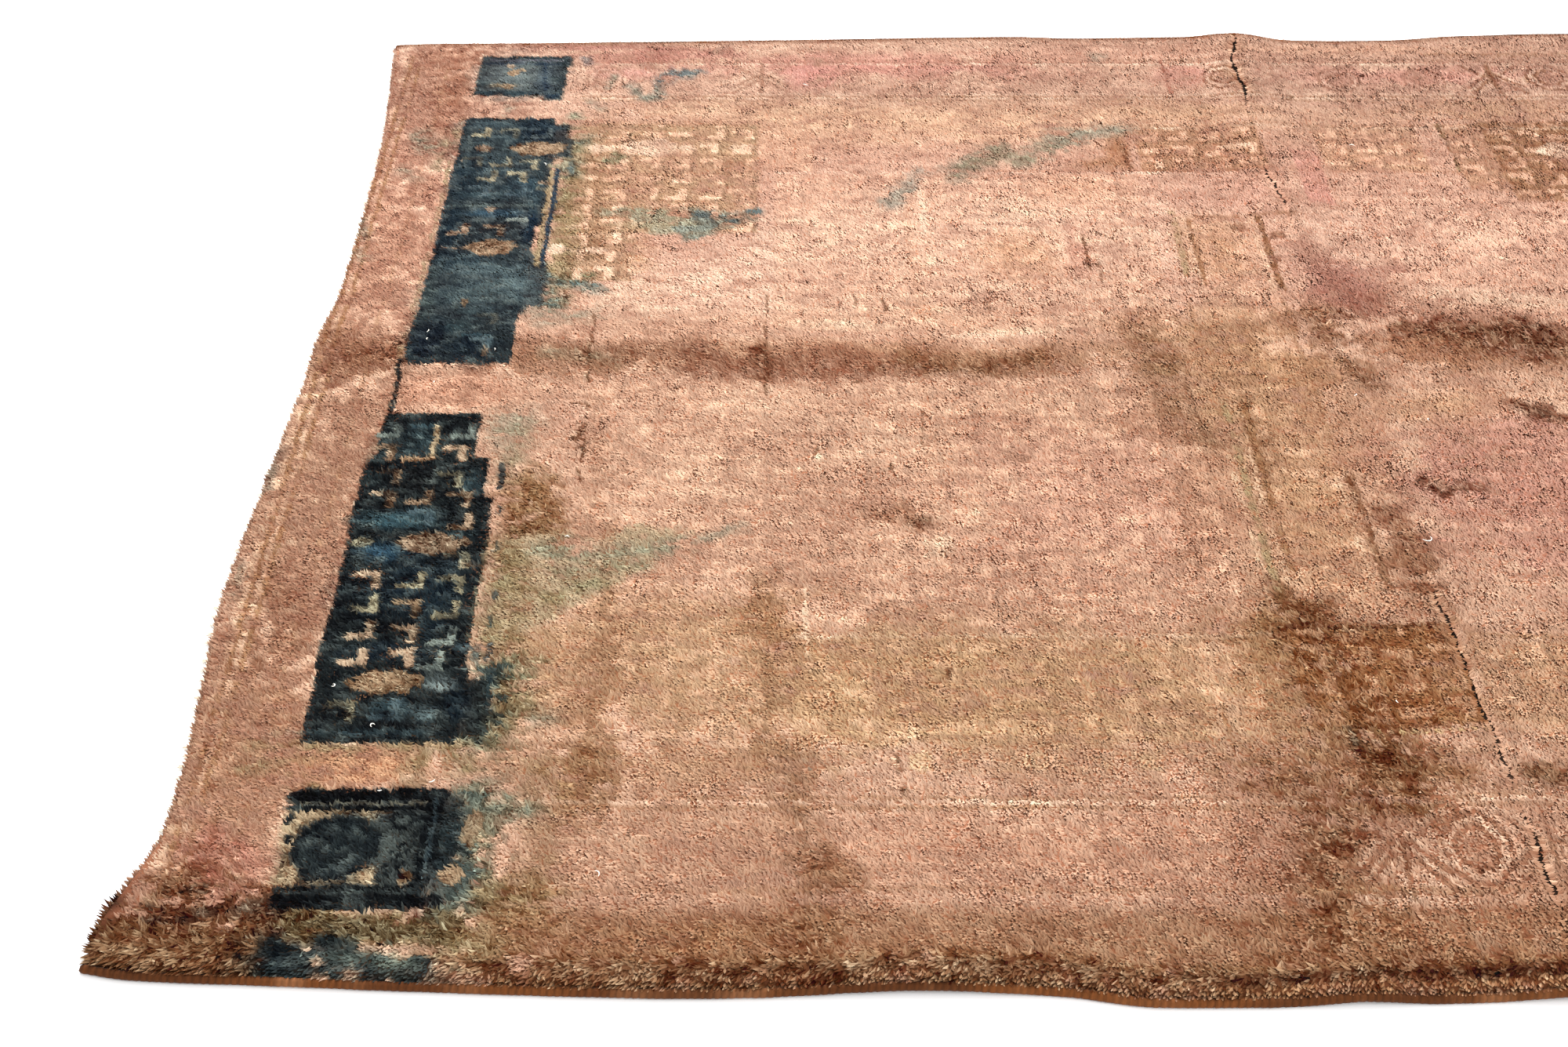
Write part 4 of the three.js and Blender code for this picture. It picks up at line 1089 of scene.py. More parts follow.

# %% [markdown]
# ## The crack and the wear
#
# Folded in half for years, the pile broke open along the fold, and the slit is painted dark with dust and
# shade, with a painted shadow beside it. Feet browned the wool, and the folds' slopes are browner with
# painted shade. Light faded the wool, no two locks took the dye alike, and raised locks carry painted
# light with painted shade between them. All of it lies over every motif, so it comes last. Brown wool
# has lost its blue, which makes it rusty, and what is paler gets a creamy painted sheen.

# %% The crack where the rug was folded in half
# s, t along it, and how open it is there
CRACK = [
    (1412, 2000, .9), (1405, 1960, .85), (1396, 1930, .9), (1394, 1870, 1), (1398, 1820, .9),
    (1392, 1770, .5), (1388, 1710, .12), (1385, 1600, .12), (1386, 1550, .45), (1390, 1500, .55),
    (1395, 1430, .45), (1398, 1360, .08), (1395, 1220, .12), (1392, 1150, .3), (1390, 1080, .1),
    (1385, 1010, .25), (1385, 960, .08), (1390, 830, .05), (1395, 700, .05), (1400, 620, .15),
    (1405, 550, .45), (1408, 480, .6), (1408, 400, .65), (1410, 320, .6), (1410, 260, .2),
    (1411, 200, .6), (1412, 150, .55), (1412, 80, .2), (1412, 20, .5),
]


def crack_path(t):
    """Where the crack is along the rug, and how open, without its small jags."""
    crack_s, crack_t, open_wide = np.array(CRACK[::-1]).T
    return np.interp(t, crack_t / 1000, crack_s / 1000), np.interp(t, crack_t / 1000, open_wide)


def crack_at(t):
    """The same with jags of two sizes, and broken here and there."""
    path_s, open_wide = crack_path(t)
    jagged = 2.4 * MM * field(t * 0, t, 0.024, 21) + 1.6 * MM * field(t * 0, t, 0.007, 22)
    broken = smooth_rise(0.6 + 1.2 * field(t * 0, t, 0.035, 23))
    return path_s + jagged, open_wide * (0.45 + 0.55 * broken)


# The slit is painted dark with dust and shade, and a painted shadow lies along both sides of it
SLIT_DUST_AND_SHADE = 0x3A261C
SLIT_HALF = 0.0060
SHADOW_DYE = 0x96684E
SHADOW_HALF = 0.016
SHADOW_STRENGTH = 0.55
crack_s, crack_open = crack_at(cell_t)
off_slit = np.abs(cell_s - crack_s)
chart = tinted(chart, SLIT_DUST_AND_SHADE, crack_open * edge(SLIT_HALF * crack_open - off_slit, 0.003))
chart = tinted(chart, SHADOW_DYE, SHADOW_STRENGTH * crack_open * edge(SHADOW_HALF - off_slit, 0.020))

# %% Bands that follow the near and far sides
plain_x, plain_y = cell_s - ORIGIN_S, cell_t - ORIGIN_T
from_near = plain_y - near_edge(plain_x) + 3 * MM * cloud
from_far = far_edge(plain_x) - plain_y
past_corner = edge(cell_s - 0.36, 0.10)
past_middle = edge(cell_s - 1.08, 0.12)
at_corner = edge(0.150 - cell_s, 0.030)
# From the near side: from, to, dye, strength, where along the rug
# The darkest near bands are partly brown wool, partly painted shade where the rim slopes down to the cord
NEAR_BANDS = [
    (-20, 50, 0x6C4830, 0.90, at_corner), (-20, 34, 0x7E563C, 0.94, past_corner),
    (4, 24, 0x5C3C2A, 0.40, past_corner), (-20, 6, 0xB07E5A, 0.60, past_middle),
    (8, 22, 0x543220, 0.80, past_middle),
]
for start, end, dye, strength, where in NEAR_BANDS:
    start, end = metres(start, end)
    band = edge(from_near - start, 0.006) * edge(end - from_near, 0.010) * where
    chart = tinted(chart, dye, np.clip(strength * band * (1 + 0.5 * cloud + 0.5 * grain), 0, 1))
# The narrow border between the near bands and the main border, and the rim of the far side
GUARD_DYE, GUARD_STRENGTH = 0x9E6E50, 0.66
FAR_RIM_DYE = 0x966852
guard = edge(0.110 - cell_t, 0.03) * edge(from_near - 0.03, 0.02) * past_corner
chart = tinted(chart, GUARD_DYE, GUARD_STRENGTH * guard)
far_rim = edge(0.012 - from_far, 0.008) * (0.5 + 0.3 * cloud)
chart = tinted(chart, FAR_RIM_DYE, np.clip(far_rim, 0, 1))

# %% Wear: grey in the blue, rust in the brown, and paler and darker wool everywhere
# How much less red, green and blue browned wool has, and the wool of the far side
BROWN_RUST = np.array([0.02, 0.06, 0.12])
FAR_DIM = np.array([0.045, 0.030, 0.030])
# The whole rug's tint near the camera and far from it
NEAR_TINT = np.array([1.000, 1.016, 1.016])
FAR_TINT = np.array([1.000, 0.994, 1.014])
# Where across the rug the tint changes and the far side's dimness sets in, and over what width
TINT_FROM, TINT_OVER = 0.95, 0.40
DIM_FROM, DIM_OVER = 1.55, 0.30
# A step of tone adds this much red, green and blue, so paler wool gets a creamy painted sheen
TONE_WITH_SHEEN = np.array([0.58, 0.61, 0.56])
DARKEST = 0.02
BLUE_WEAR, BLUE_WORN = 0.42, 0x707672
LEFT_ROUGH = 0.75


def warmth(dyes):
    return smooth_rise((dyes[..., 0] - dyes[..., 2]) / 0.12)


def browned(dyes):
    """1 where the wool is deep brown, 0 where it is peach, cream or blue."""
    return warmth(dyes) * smooth_rise((0.74 - dyes[..., 0]) / 0.26)


worn_blue = edge(0.36 - chart[..., 0], 0.10) * bluish(chart)
chart = tinted(chart, BLUE_WORN, BLUE_WEAR * worn_blue * np.clip(tangle + 0.6 * grain, 0, 1))
warm, brown_share = warmth(chart), browned(chart)
chart *= 1 - brown_share[..., None] * BROWN_RUST
chart *= NEAR_TINT + (FAR_TINT - NEAR_TINT) * smooth_rise((cell_t - TINT_FROM) / TINT_OVER)[..., None]
chart *= 1 - smooth_rise((cell_t - DIM_FROM) / DIM_OVER)[..., None] * FAR_DIM
# How much each kind of unevenness shades the wool
fade = 0.060 * streak + 0.080 * cloud + 0.055 * grain + 0.040 * tangle
# Browned wool and the wool along the left end are rougher
rough = np.maximum(brown_share, LEFT_ROUGH * warm * edge(0.27 - cell_s, 0.05))
fade += rough * (0.105 * grain + 0.115 * tangle + 0.05 * cloud)
chart = np.clip(chart + fade[..., None] * TONE_WITH_SHEEN, DARKEST, 1)


def dye_at(x, y):
    """The colour of the wool at these points, as display colours between 0 and 1."""
    i = np.clip((x + ORIGIN_S - chart_s[0]) / CHART_STEP, 0, len(chart_s) - 1.001)
    j = np.clip((y + ORIGIN_T - chart_t[0]) / CHART_STEP, 0, len(chart_t) - 1.001)
    a, b = i.astype(int), j.astype(int)
    u, v = (i - a)[..., None], (j - b)[..., None]
    near_row = chart[a, b] * (1 - u) + chart[a + 1, b] * u
    far_row = chart[a, b + 1] * (1 - u) + chart[a + 1, b + 1] * u
    return near_row * (1 - v) + far_row * v


print("mean dye", chart.mean(axis=(0, 1)).round(3))

# %% [markdown]
# ## From numbers to meshes
#
# Hundreds of thousands of faces are quick to make when whole arrays are handed to Blender at once.
# Colours go along as point attributes, which the materials read.

# %% A mesh from arrays
def to_linear(display):
    return np.where(display <= 0.04045, display / 12.92, ((display + 0.055) / 1.055) ** 2.4)


def mesh_piece(name, points, faces, material):
    """A new object from an array of points and one of faces, all with the same number of corners."""
    corners = faces.shape[1]
    mesh = bpy.data.meshes.new(name)
    mesh.vertices.add(len(points))
    mesh.vertices.foreach_set("co", np.asarray(points, np.float32).ravel())
    mesh.loops.add(faces.size)
    mesh.loops.foreach_set("vertex_index", np.asarray(faces, np.int32).ravel())
    mesh.polygons.add(len(faces))
    mesh.polygons.foreach_set("loop_start", np.arange(len(faces), dtype=np.int32) * corners)
    mesh.polygons.foreach_set("use_smooth", np.full(len(faces), True))
    mesh.update(calc_edges=True)
    mesh.validate()
    mesh.materials.append(material)
    piece = bpy.data.objects.new(name, mesh)
    bpy.context.scene.collection.objects.link(piece)
    return piece


def paint(piece, display):
    """Stores a display colour for each point as the attribute dye."""
    linear = to_linear(np.clip(display, 0, 1))
    values = np.concatenate([linear, np.ones((len(linear), 1))], axis=1).astype(np.float32)
    layer = piece.data.color_attributes.new("dye", "FLOAT_COLOR", "POINT")
    layer.data.foreach_set("color", values.ravel())


def store(piece, name, values):
    layer = piece.data.attributes.new(name, "FLOAT", "POINT")
    layer.data.foreach_set("value", np.asarray(values, np.float32))


# %% [markdown]
# ## Wool and cotton
#
# Fibre grain is the same effect in every yarn here, so it is one node group with named inputs: fine
# stretched noise that shades the colour a little and raises the surface a little. The materials keep
# their own shader and colour, and place the group with their own sizes.

# %% The fibre group
def add_node(nodes, kind, operation):
    node = nodes.new(kind)
    node.operation = operation
    return node


def fibre_group():
    group = bpy.data.node_groups.new("fibre grain", "ShaderNodeTree")
    face = group.interface
    face.new_socket("Scale", in_out="INPUT", socket_type="NodeSocketFloat")
    face.new_socket("Stretch", in_out="INPUT", socket_type="NodeSocketVector")
    face.new_socket("Contrast", in_out="INPUT", socket_type="NodeSocketFloat")
    face.new_socket("Shade", in_out="OUTPUT", socket_type="NodeSocketFloat")
    face.new_socket("Height", in_out="OUTPUT", socket_type="NodeSocketFloat")
    nodes, links = group.nodes, group.links
    given = nodes.new("NodeGroupInput")
    result = nodes.new("NodeGroupOutput")
    place = nodes.new("ShaderNodeTexCoord")
    stretched = add_node(nodes, "ShaderNodeVectorMath", "MULTIPLY")
    noise = nodes.new("ShaderNodeTexNoise")
    noise.inputs["Detail"].default_value = 3.0
    noise.inputs["Roughness"].default_value = 0.6
    centred = add_node(nodes, "ShaderNodeMath", "SUBTRACT")
    centred.inputs[1].default_value = 0.5
    shade = add_node(nodes, "ShaderNodeMath", "MULTIPLY_ADD")
    shade.inputs[2].default_value = 1.0
    links.new(place.outputs["Object"], stretched.inputs[0])
    links.new(given.outputs["Stretch"], stretched.inputs[1])
    links.new(stretched.outputs["Vector"], noise.inputs["Vector"])
    links.new(given.outputs["Scale"], noise.inputs["Scale"])
    links.new(noise.outputs["Fac"], centred.inputs[0])
    links.new(centred.outputs[0], shade.inputs[0])
    links.new(given.outputs["Contrast"], shade.inputs[1])
    links.new(shade.outputs[0], result.inputs["Shade"])
    links.new(noise.outputs["Fac"], result.inputs["Height"])
    return group


FIBRE = fibre_group()


def yarn_material(name, scale, stretch, contrast, bump, roughness, sheen, root_painted_shade=None):
    """Wool or cotton: each point's dye, shaded by the fibre grain, with painted shade at the root if asked.
    """
    material = bpy.data.materials.new(name)
    material.use_nodes = True
    nodes, links = material.node_tree.nodes, material.node_tree.links
    shader = nodes["Principled BSDF"]
    shader.inputs["Roughness"].default_value = roughness
    shader.inputs["Specular IOR Level"].default_value = 0.05
    shader.inputs["Sheen Weight"].default_value = sheen
    shader.inputs["Sheen Roughness"].default_value = 0.45
    grain = nodes.new("ShaderNodeGroup")
    grain.node_tree = FIBRE
    grain.inputs["Scale"].default_value = scale
    grain.inputs["Stretch"].default_value = stretch
    grain.inputs["Contrast"].default_value = contrast
    dye = nodes.new("ShaderNodeAttribute")
    dye.attribute_name = "dye"
    shaded = add_node(nodes, "ShaderNodeVectorMath", "SCALE")
    links.new(dye.outputs["Color"], shaded.inputs[0])
    links.new(grain.outputs["Shade"], shaded.inputs["Scale"])
    colour = shaded.outputs["Vector"]
    if root_painted_shade is not None:
        tip = nodes.new("ShaderNodeAttribute")
        tip.attribute_name = "tip"
        depth = add_node(nodes, "ShaderNodeVectorMath", "MULTIPLY_ADD")
        depth.inputs[1].default_value = [1 - share for share in root_painted_shade]
        depth.inputs[2].default_value = root_painted_shade
        links.new(tip.outputs["Fac"], depth.inputs[0])
        rooted = add_node(nodes, "ShaderNodeVectorMath", "MULTIPLY")
        links.new(colour, rooted.inputs[0])
        links.new(depth.outputs["Vector"], rooted.inputs[1])
        colour = rooted.outputs["Vector"]
    links.new(colour, shader.inputs["Base Color"])
    bumped = nodes.new("ShaderNodeBump")
    bumped.inputs["Distance"].default_value = bump
    links.new(grain.outputs["Height"], bumped.inputs["Height"])
    links.new(bumped.outputs["Normal"], shader.inputs["Normal"])
    return material


# Grain scale, stretch, contrast, bump, roughness, sheen, and for the pile the painted shade at the roots
ROOT_PAINTED_SHADE = (0.86, 0.76, 0.69)
pile_wool = yarn_material("pile wool", 600.0, (1.0, 1.5, 1.0), 0.60, 0.0005, 0.95, 0.0, ROOT_PAINTED_SHADE)
ground_wool = yarn_material("pile roots", 300.0, (1.0, 1.0, 1.0), 0.5, 0.0008, 0.95, 0.0)
cord_wool = yarn_material("overcast wool", 500.0, (1.0, 0.3, 0.3), 0.7, 0.0005, 0.9, 0.05)
warp_cotton = yarn_material("warp cotton", 700.0, (0.4, 1.0, 1.0), 0.35, 0.0003, 0.9, 0.15)

# %% [markdown]
# ## The cloth under the pile
#
# Below the tufts lies the woven ground with their roots. It is one closed sheet on the rug's own
# folds. It is seen only as the dark between tufts, so a coarse grid does, and it has the dye of the wool
# above it with painted shade, a third to a half darker. Where the rug was folded in half the pile has
# parted, so a few closer columns cut a slot there, painted darker still as shade.

# %% Woven ground
ROOT_TOP = 10.4 * MM
RIM_TOP = 3.5 * MM
GROUND_STEP = 0.020
# Painted shade on the ground between the tufts, and darker still in the slot at the crack
GROUND_PAINTED_SHADE = np.array([0.66, 0.56, 0.50])
SLOT_PAINTED_SHADE = 0.22
SLOT_HALF = 4.0 * MM
SLOT_DEPTH = 5.0 * MM
SLOT_BLEND = 0.120
BACK_SHADE = 0.80
GRID_INSET = 0.004


def even(start, end, step):
    return np.linspace(start, end, max(2, int(round((end - start) / step)) + 1))


def stations(half, fold, offsets):
    left = even(-half + GRID_INSET, fold - GROUND_STEP, GROUND_STEP)
    right = even(fold + GROUND_STEP, half - GRID_INSET, GROUND_STEP)
    return np.concatenate([[-half], left, fold + np.array(offsets), right, [half]])


slot_columns = [-2 * SLOT_HALF, -SLOT_HALF, 0.0, SLOT_HALF, 2 * SLOT_HALF]
grid_x0, grid_y0 = np.meshgrid(stations(LENGTH / 2, CREASE_X, slot_columns), stations(WIDTH / 2, 0.0, [0.0]))
grid_x, grid_y = spot(grid_x0, grid_y0)
path_s, path_open = crack_path(grid_y + ORIGIN_T)
fold_line = CREASE_X + CREASE_BOW * (grid_y / (WIDTH / 2)) ** 2
grid_x = grid_x + (path_s - ORIGIN_S - fold_line) * beside(grid_x0 - CREASE_X, SLOT_BLEND)
slot = path_open * (np.abs(grid_x0 - CREASE_X) < 1.5 * SLOT_HALF)
under = lift(grid_x, grid_y)
at_rim = (np.abs(grid_x0) == LENGTH / 2) | (np.abs(grid_y0) == WIDTH / 2)
upper = under + np.where(at_rim, RIM_TOP, ROOT_TOP + 0.4 * MM * field(grid_x, grid_y, 0.03, 24))
upper = upper - np.where(at_rim, 0.0, SLOT_DEPTH * slot)
count = grid_x.size
ground_points = np.concatenate([
    np.stack([grid_x, grid_y, upper], axis=-1).reshape(-1, 3),
    np.stack([grid_x, grid_y, under], axis=-1).reshape(-1, 3),
])
number = np.arange(count).reshape(grid_x.shape)
a, b = number[:-1, :-1].ravel(), number[:-1, 1:].ravel()
c, d = number[1:, 1:].ravel(), number[1:, :-1].ravel()
rim = np.concatenate([number[0, :-1], number[:-1, -1], number[-1, :0:-1], number[:0:-1, 0]])
rim_next = np.roll(rim, -1)
ground_faces = np.concatenate([
    np.stack([a, b, c, d], axis=1),
    np.stack([a, d, c, b], axis=1) + count,
    np.stack([rim, rim + count, rim_next + count, rim_next], axis=1),
])
woven_ground = mesh_piece("woven_ground", ground_points, ground_faces, ground_wool)
ground_dye = dye_at(grid_x.ravel(), grid_y.ravel())
in_slot = np.minimum(1.0, 2 * slot.ravel())[:, None]
top_painted_shade = GROUND_PAINTED_SHADE + (SLOT_PAINTED_SHADE - GROUND_PAINTED_SHADE) * in_slot
paint(woven_ground, np.concatenate([ground_dye * top_painted_shade, ground_dye * BACK_SHADE]))
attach(woven_ground, "root")
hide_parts("knotted_cloth")
print("woven ground", len(ground_faces), "faces")

# %% [markdown]
# ## The pile
#
# Every tuft stands on its own knot. A tuft is a narrow leaf with a ridge, its root in the ground and its
# tip laid over, because feet and folding have combed the wool towards the left end. Hair curves would be
# finer, but a mesh exports as it is, and a leaf takes only two faces, so there can be over 400,000 of
# them, close to the real knots. Each tuft has one dye, as a knot has, read where most of it shows.
# Towards the right end, which is seen less closely, the knots are a little coarser.

# %% Where the knots are
KNOT_STEP = 3.40 * MM
COARSE_KNOT_STEP = 4.95 * MM
COARSE_FROM = 0.74
INSET = 2.0 * MM
KNOT_WANDER = 0.32
chance = np.random.default_rng(7)


def knot_grid(x0, x1, step):
    rows = even(-WIDTH / 2 + INSET, WIDTH / 2 - INSET, step)
    x, y = (v.ravel() for v in np.meshgrid(even(x0, x1, step), rows, indexing="ij"))
    wander = chance.uniform(-KNOT_WANDER, KNOT_WANDER, (2, x.size)) * step
    return np.stack([x + wander[0], y + wander[1], np.full(x.size, step)])


knots = np.concatenate([
    knot_grid(-LENGTH / 2 + INSET, COARSE_FROM, KNOT_STEP),
    knot_grid(COARSE_FROM + COARSE_KNOT_STEP, LENGTH / 2 - INSET, COARSE_KNOT_STEP),
], axis=1)
knot_x0, knot_y0, knot_step = knots[:, np.argsort(knots[0])]
knot_x, knot_y = spot(np.clip(knot_x0, -LENGTH / 2, LENGTH / 2), np.clip(knot_y0, -WIDTH / 2, WIDTH / 2))
coarse = knot_step / KNOT_STEP
print("knots", knot_x.size)

# %% Where the pile is ruffled, at a rim or beside the crack
from_near = knot_y - near_edge(knot_x)
from_far = far_edge(knot_x) - knot_y
from_left = knot_x - left_edge(knot_y)
from_right = right_edge(knot_y) - knot_x
nearest_rim = np.minimum(np.minimum(from_near, from_far), np.minimum(from_left, from_right))


def close_to(distance, reach):
    """1 at no distance, 0 from this reach on."""
    return np.clip(1 - distance / reach, 0, 1)


rim_low = close_to(nearest_rim, 0.008)
near_hang = close_to(from_near, 0.035)
ruffled = browned(dye_at(knot_x, knot_y))
crack_place, crack_wide = crack_at(knot_y + ORIGIN_T)
off_crack = knot_x + ORIGIN_S - crack_place
parted = crack_wide * close_to(np.abs(off_crack), 0.0070)

# %% Which way each tuft leans
def knot_field(cell, seed):
    return field(knot_x, knot_y, cell, seed, 2)


# The wool lies towards the left end, turned a little by clouds of four sizes and by chance
turn = math.pi + 0.28 * knot_field(0.12, 11) + 0.42 * knot_field(0.026, 12)
turn = turn + 0.8 * ruffled * knot_field(0.012, 15) + 0.9 * knot_field(0.010, 16)
turn = turn + chance.normal(0.0, 1.0, knot_x.size) * (0.62 + 0.30 * ruffled)
lean_x, lean_y = np.cos(turn), np.sin(turn)
# It hangs over the rims, and away from the crack on both sides
lean_y = lean_y - 2.2 * near_hang + 1.2 * close_to(from_far, 0.012)
lean_x = lean_x - 1.5 * close_to(from_left, 0.015) + 2.5 * close_to(from_right, 0.012)
lean_x = lean_x + 6.0 * crack_wide * np.sign(off_crack) * close_to(np.abs(off_crack), 0.012)
size = np.maximum(np.hypot(lean_x, lean_y), 1e-6)
lean_x, lean_y = lean_x / size, lean_y / size

# %% How far over, how tall and how wide
# In millimetres: how far a tip reaches over its root, and half a tuft's width
USUAL_REACH, LEAST_REACH, MOST_REACH = 4.7, 2.5, 11.0
USUAL_HALF, LEAST_HALF, MOST_HALF = 2.5, 1.6, 3.4
# How far the pile sinks at a rim and beside the crack
RIM_SINK = 3.5 * MM
CRACK_SINK = 4.5 * MM
locks = knot_field(0.013, 14)
lumps = knot_field(0.009, 17)
reach = USUAL_REACH + 0.9 * locks + 3.2 * ruffled + 3.5 * near_hang + chance.normal(0, 0.8, knot_x.size)
reach = np.clip(reach, LEAST_REACH, MOST_REACH) * MM * coarse
rise = (0.6 + 0.3 * ruffled) * (locks + lumps) + 0.5 * ruffled + chance.normal(0, 0.44, knot_x.size)
tall = PILE_TOP - ROOT_TOP + rise * MM
tall = tall - RIM_SINK * rim_low - CRACK_SINK * parted
half_wide = USUAL_HALF + 0.3 * locks + chance.normal(0, 0.25, knot_x.size)
half_wide = np.clip(half_wide, LEAST_HALF, MOST_HALF) * MM * coarse


# %% Build the tufts
ROOT_DEPTH = 1.2 * MM
BACK_RISE = 1.3 * MM
LOWEST_TIP = 1.5 * MM
# In half widths: how far the back of a leaf stands behind its root, and its two feet before it
BACK_OFF, FEET_OFF = 1.1, 0.6
# How high up the tuft its four points count: back, two feet, tip
TIP_SHARES = [0.45, 0.0, 0.0, 1.0]
# The dye is read this share of the way to the tip
DYE_AT = 0.6
# How much of its dye a tuft shows, and how uneven the tufts are from knot to knot
TIP_SHADE = np.array([0.868, 0.890, 0.892])
KNOT_SHADES = 0.046
RUFFLED_SHADES = 0.10
# Painted light on raised lumps and locks and painted shade in the hollows, most where the pile is ruffled
LUMP_LIGHT_AND_SHADE = 0.042
LOCK_LIGHT_AND_SHADE = 0.20


def tufts(name, chosen):
    x, y = knot_x[chosen], knot_y[chosen]
    ux, uy = lean_x[chosen], lean_y[chosen]
    w, r = half_wide[chosen], reach[chosen]
    root_z = lift(x, y) + ROOT_TOP * (1 - 0.5 * rim_low[chosen]) - ROOT_DEPTH
    tip_x, tip_y = x + ux * r, y + uy * r
    tip_z = np.maximum(lift(tip_x, tip_y) + ROOT_TOP + tall[chosen], LOWEST_TIP)
    back = np.stack([x - ux * w * BACK_OFF, y - uy * w * BACK_OFF, root_z + BACK_RISE], axis=1)
    feet_x, feet_y = x + ux * w * FEET_OFF, y + uy * w * FEET_OFF
    left = np.stack([feet_x - uy * w, feet_y + ux * w, root_z], axis=1)
    right = np.stack([feet_x + uy * w, feet_y - ux * w, root_z], axis=1)
    tip = np.stack([tip_x, tip_y, tip_z], axis=1)
    points = np.stack([back, left, right, tip], axis=1).reshape(-1, 3)
    first = np.arange(len(x)) * 4
    faces = np.stack([
        np.stack([first, first + 3, first + 1], axis=1),
        np.stack([first, first + 2, first + 3], axis=1),
    ], axis=1).reshape(-1, 3)
    piece = mesh_piece(name, points, faces, pile_wool)
    # Tone that differs from knot to knot, painted light and shade on the lumps, and creamy painted sheen
    uneven = chance.normal(0, 1, len(x)) * (KNOT_SHADES + RUFFLED_SHADES * ruffled[chosen])
    shade = uneven + ((LUMP_LIGHT_AND_SHADE + LOCK_LIGHT_AND_SHADE * ruffled) * lumps)[chosen]
    shown = dye_at(x + DYE_AT * r * ux, y + DYE_AT * r * uy) + shade[:, None] * TONE_WITH_SHEEN
    shown = np.clip(shown, DARKEST, 1) * TIP_SHADE
    paint(piece, np.repeat(shown, 4, axis=0))
    store(piece, "tip", np.tile(TIP_SHARES, len(x)))
    # A UV map of the rug seen from above
    top_map = piece.data.uv_layers.new(name="OFBake")
    corner = points[faces.ravel()]
    uv = (corner[:, :2] - points[:, :2].min(axis=0)) / np.ptp(points[:, :2], axis=0)
    top_map.uv.foreach_set("vector", uv.astype(np.float32).ravel())
    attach(piece, "root")
    print(name, len(x), "tufts,", len(faces), "faces")
    return piece


PILE_PIECES = 5
BARE_HALF = 3.2 * MM
standing = np.flatnonzero(np.abs(off_crack) > BARE_HALF * crack_wide)
pile = [tufts(f"pile_{k + 1}", part) for k, part in enumerate(np.array_split(standing, PILE_PIECES))]

# %% [markdown]
# ## Overcast side cords
#
# Each long side ends in a bundle of warps wrapped tightly with brown wool. The wraps sit side by side,
# so the cord swells and narrows a little from wrap to wrap. A ring of points is swept along the
# cloth's rim, and its radius follows the wraps.

# %% Side cords
CORD_RINGS = 1150
CORD_SIDES = 8
WRAP_PITCH = 7.2 * MM
WRAP_SLANT = 1.1 * MM
END_SWELL = 0.55
CORD_DYE, CORD_DARK, CORD_WORN = 0x663B1E, 0x4E2C17, 0x966848


def side_cord(name, node, edge_of, out, seed):
    mid = edge_of(np.array(0.0))
    start = float(left_edge(mid)) - WEB_WIDE - GAP
    end = float(right_edge(mid)) + WEB_WIDE + GAP
    x = np.linspace(start, end, CORD_RINGS)
    centre = edge_of(x) + out * (GAP + CORD_WIDE / 2)
    raised = lift(x, centre)
    wraps = np.abs(np.sin(math.pi * x / WRAP_PITCH + 0.8 * field(x, x * 0, 0.05, seed)))
    swell = 0.90 + 0.12 * wraps + 0.05 * field(x, x * 0, 0.02, seed + 1)
    swell[0] = swell[-1] = END_SWELL
    angle = (np.arange(CORD_SIDES) + 0.5) / CORD_SIDES * 2 * math.pi
    y = centre[:, None] + CORD_WIDE / 2 * swell[:, None] * np.cos(angle)
    z = CORD_HIGH / 2 * (1 + swell[:, None] * 1.03 * np.sin(angle))
    z = np.maximum(z, 0.2 * MM) + raised[:, None]
    slant = WRAP_SLANT * np.sin(angle)
    points = np.stack([np.broadcast_to(x[:, None], y.shape) + slant, y, z], axis=-1).reshape(-1, 3)
    ring = np.arange(CORD_RINGS * CORD_SIDES).reshape(CORD_RINGS, CORD_SIDES)
    turned = np.roll(ring, -1, axis=1)
    sides = np.stack([ring[:-1], turned[:-1], turned[1:], ring[1:]], axis=-1).reshape(-1, 4)
    start_cap = [ring[0, [0, k + 2, k + 1, k]] for k in (5, 3, 1)]
    end_cap = [ring[-1, [0, k, k + 1, k + 2]] for k in (1, 3, 5)]
    piece = mesh_piece(name, points, np.concatenate([sides, start_cap, end_cap]), cord_wool)
    yarn = np.tile(rgb(CORD_DYE), (CORD_RINGS, 1))
    yarn = tinted(yarn, CORD_DARK, smooth_rise(0.5 + field(x, x * 0, 0.12, seed + 2)))
    yarn = tinted(yarn, CORD_WORN, 0.5 * smooth_rise(field(x, x * 0, 0.035, seed + 3) - 0.2))
    # Painted shade in the groove between wraps, lighter towards each wrap's crest
    yarn = yarn * (0.80 + 0.25 * wraps)[:, None]
    paint(piece, np.repeat(yarn, CORD_SIDES, axis=0))
    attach(piece, "root")
    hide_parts(node)
    print(name, len(sides), "faces")
    return piece


near_cord = side_cord("near_overcast_cord", "near_side_cord", near_edge, -1, 200)
far_cord = side_cord("far_overcast_cord", "far_side_cord", far_edge, 1, 210)

# %% [markdown]
# ## Cut warp ends
#
# At each short end a narrow web closes the knots, and the warps were cut just beyond it. Each bundle is
# a few twisted cotton strands that part at the cut. They are tapered prisms bent a little downwards,
# joined into one piece with the web.

# %% Webs with their warp bundles
STUB_PITCH = 15 * MM
STUB_LONG = 7.2 * MM
STRANDS = 3
STRAND_SIDES = 5
STRAND_RADII = [0.75 * MM, 0.85 * MM, 0.45 * MM]
WEB_STATIONS = 260
WEB_SIDES = 6
COTTON, COTTON_DUSTY = 0xE8E0CE, 0xC4A484


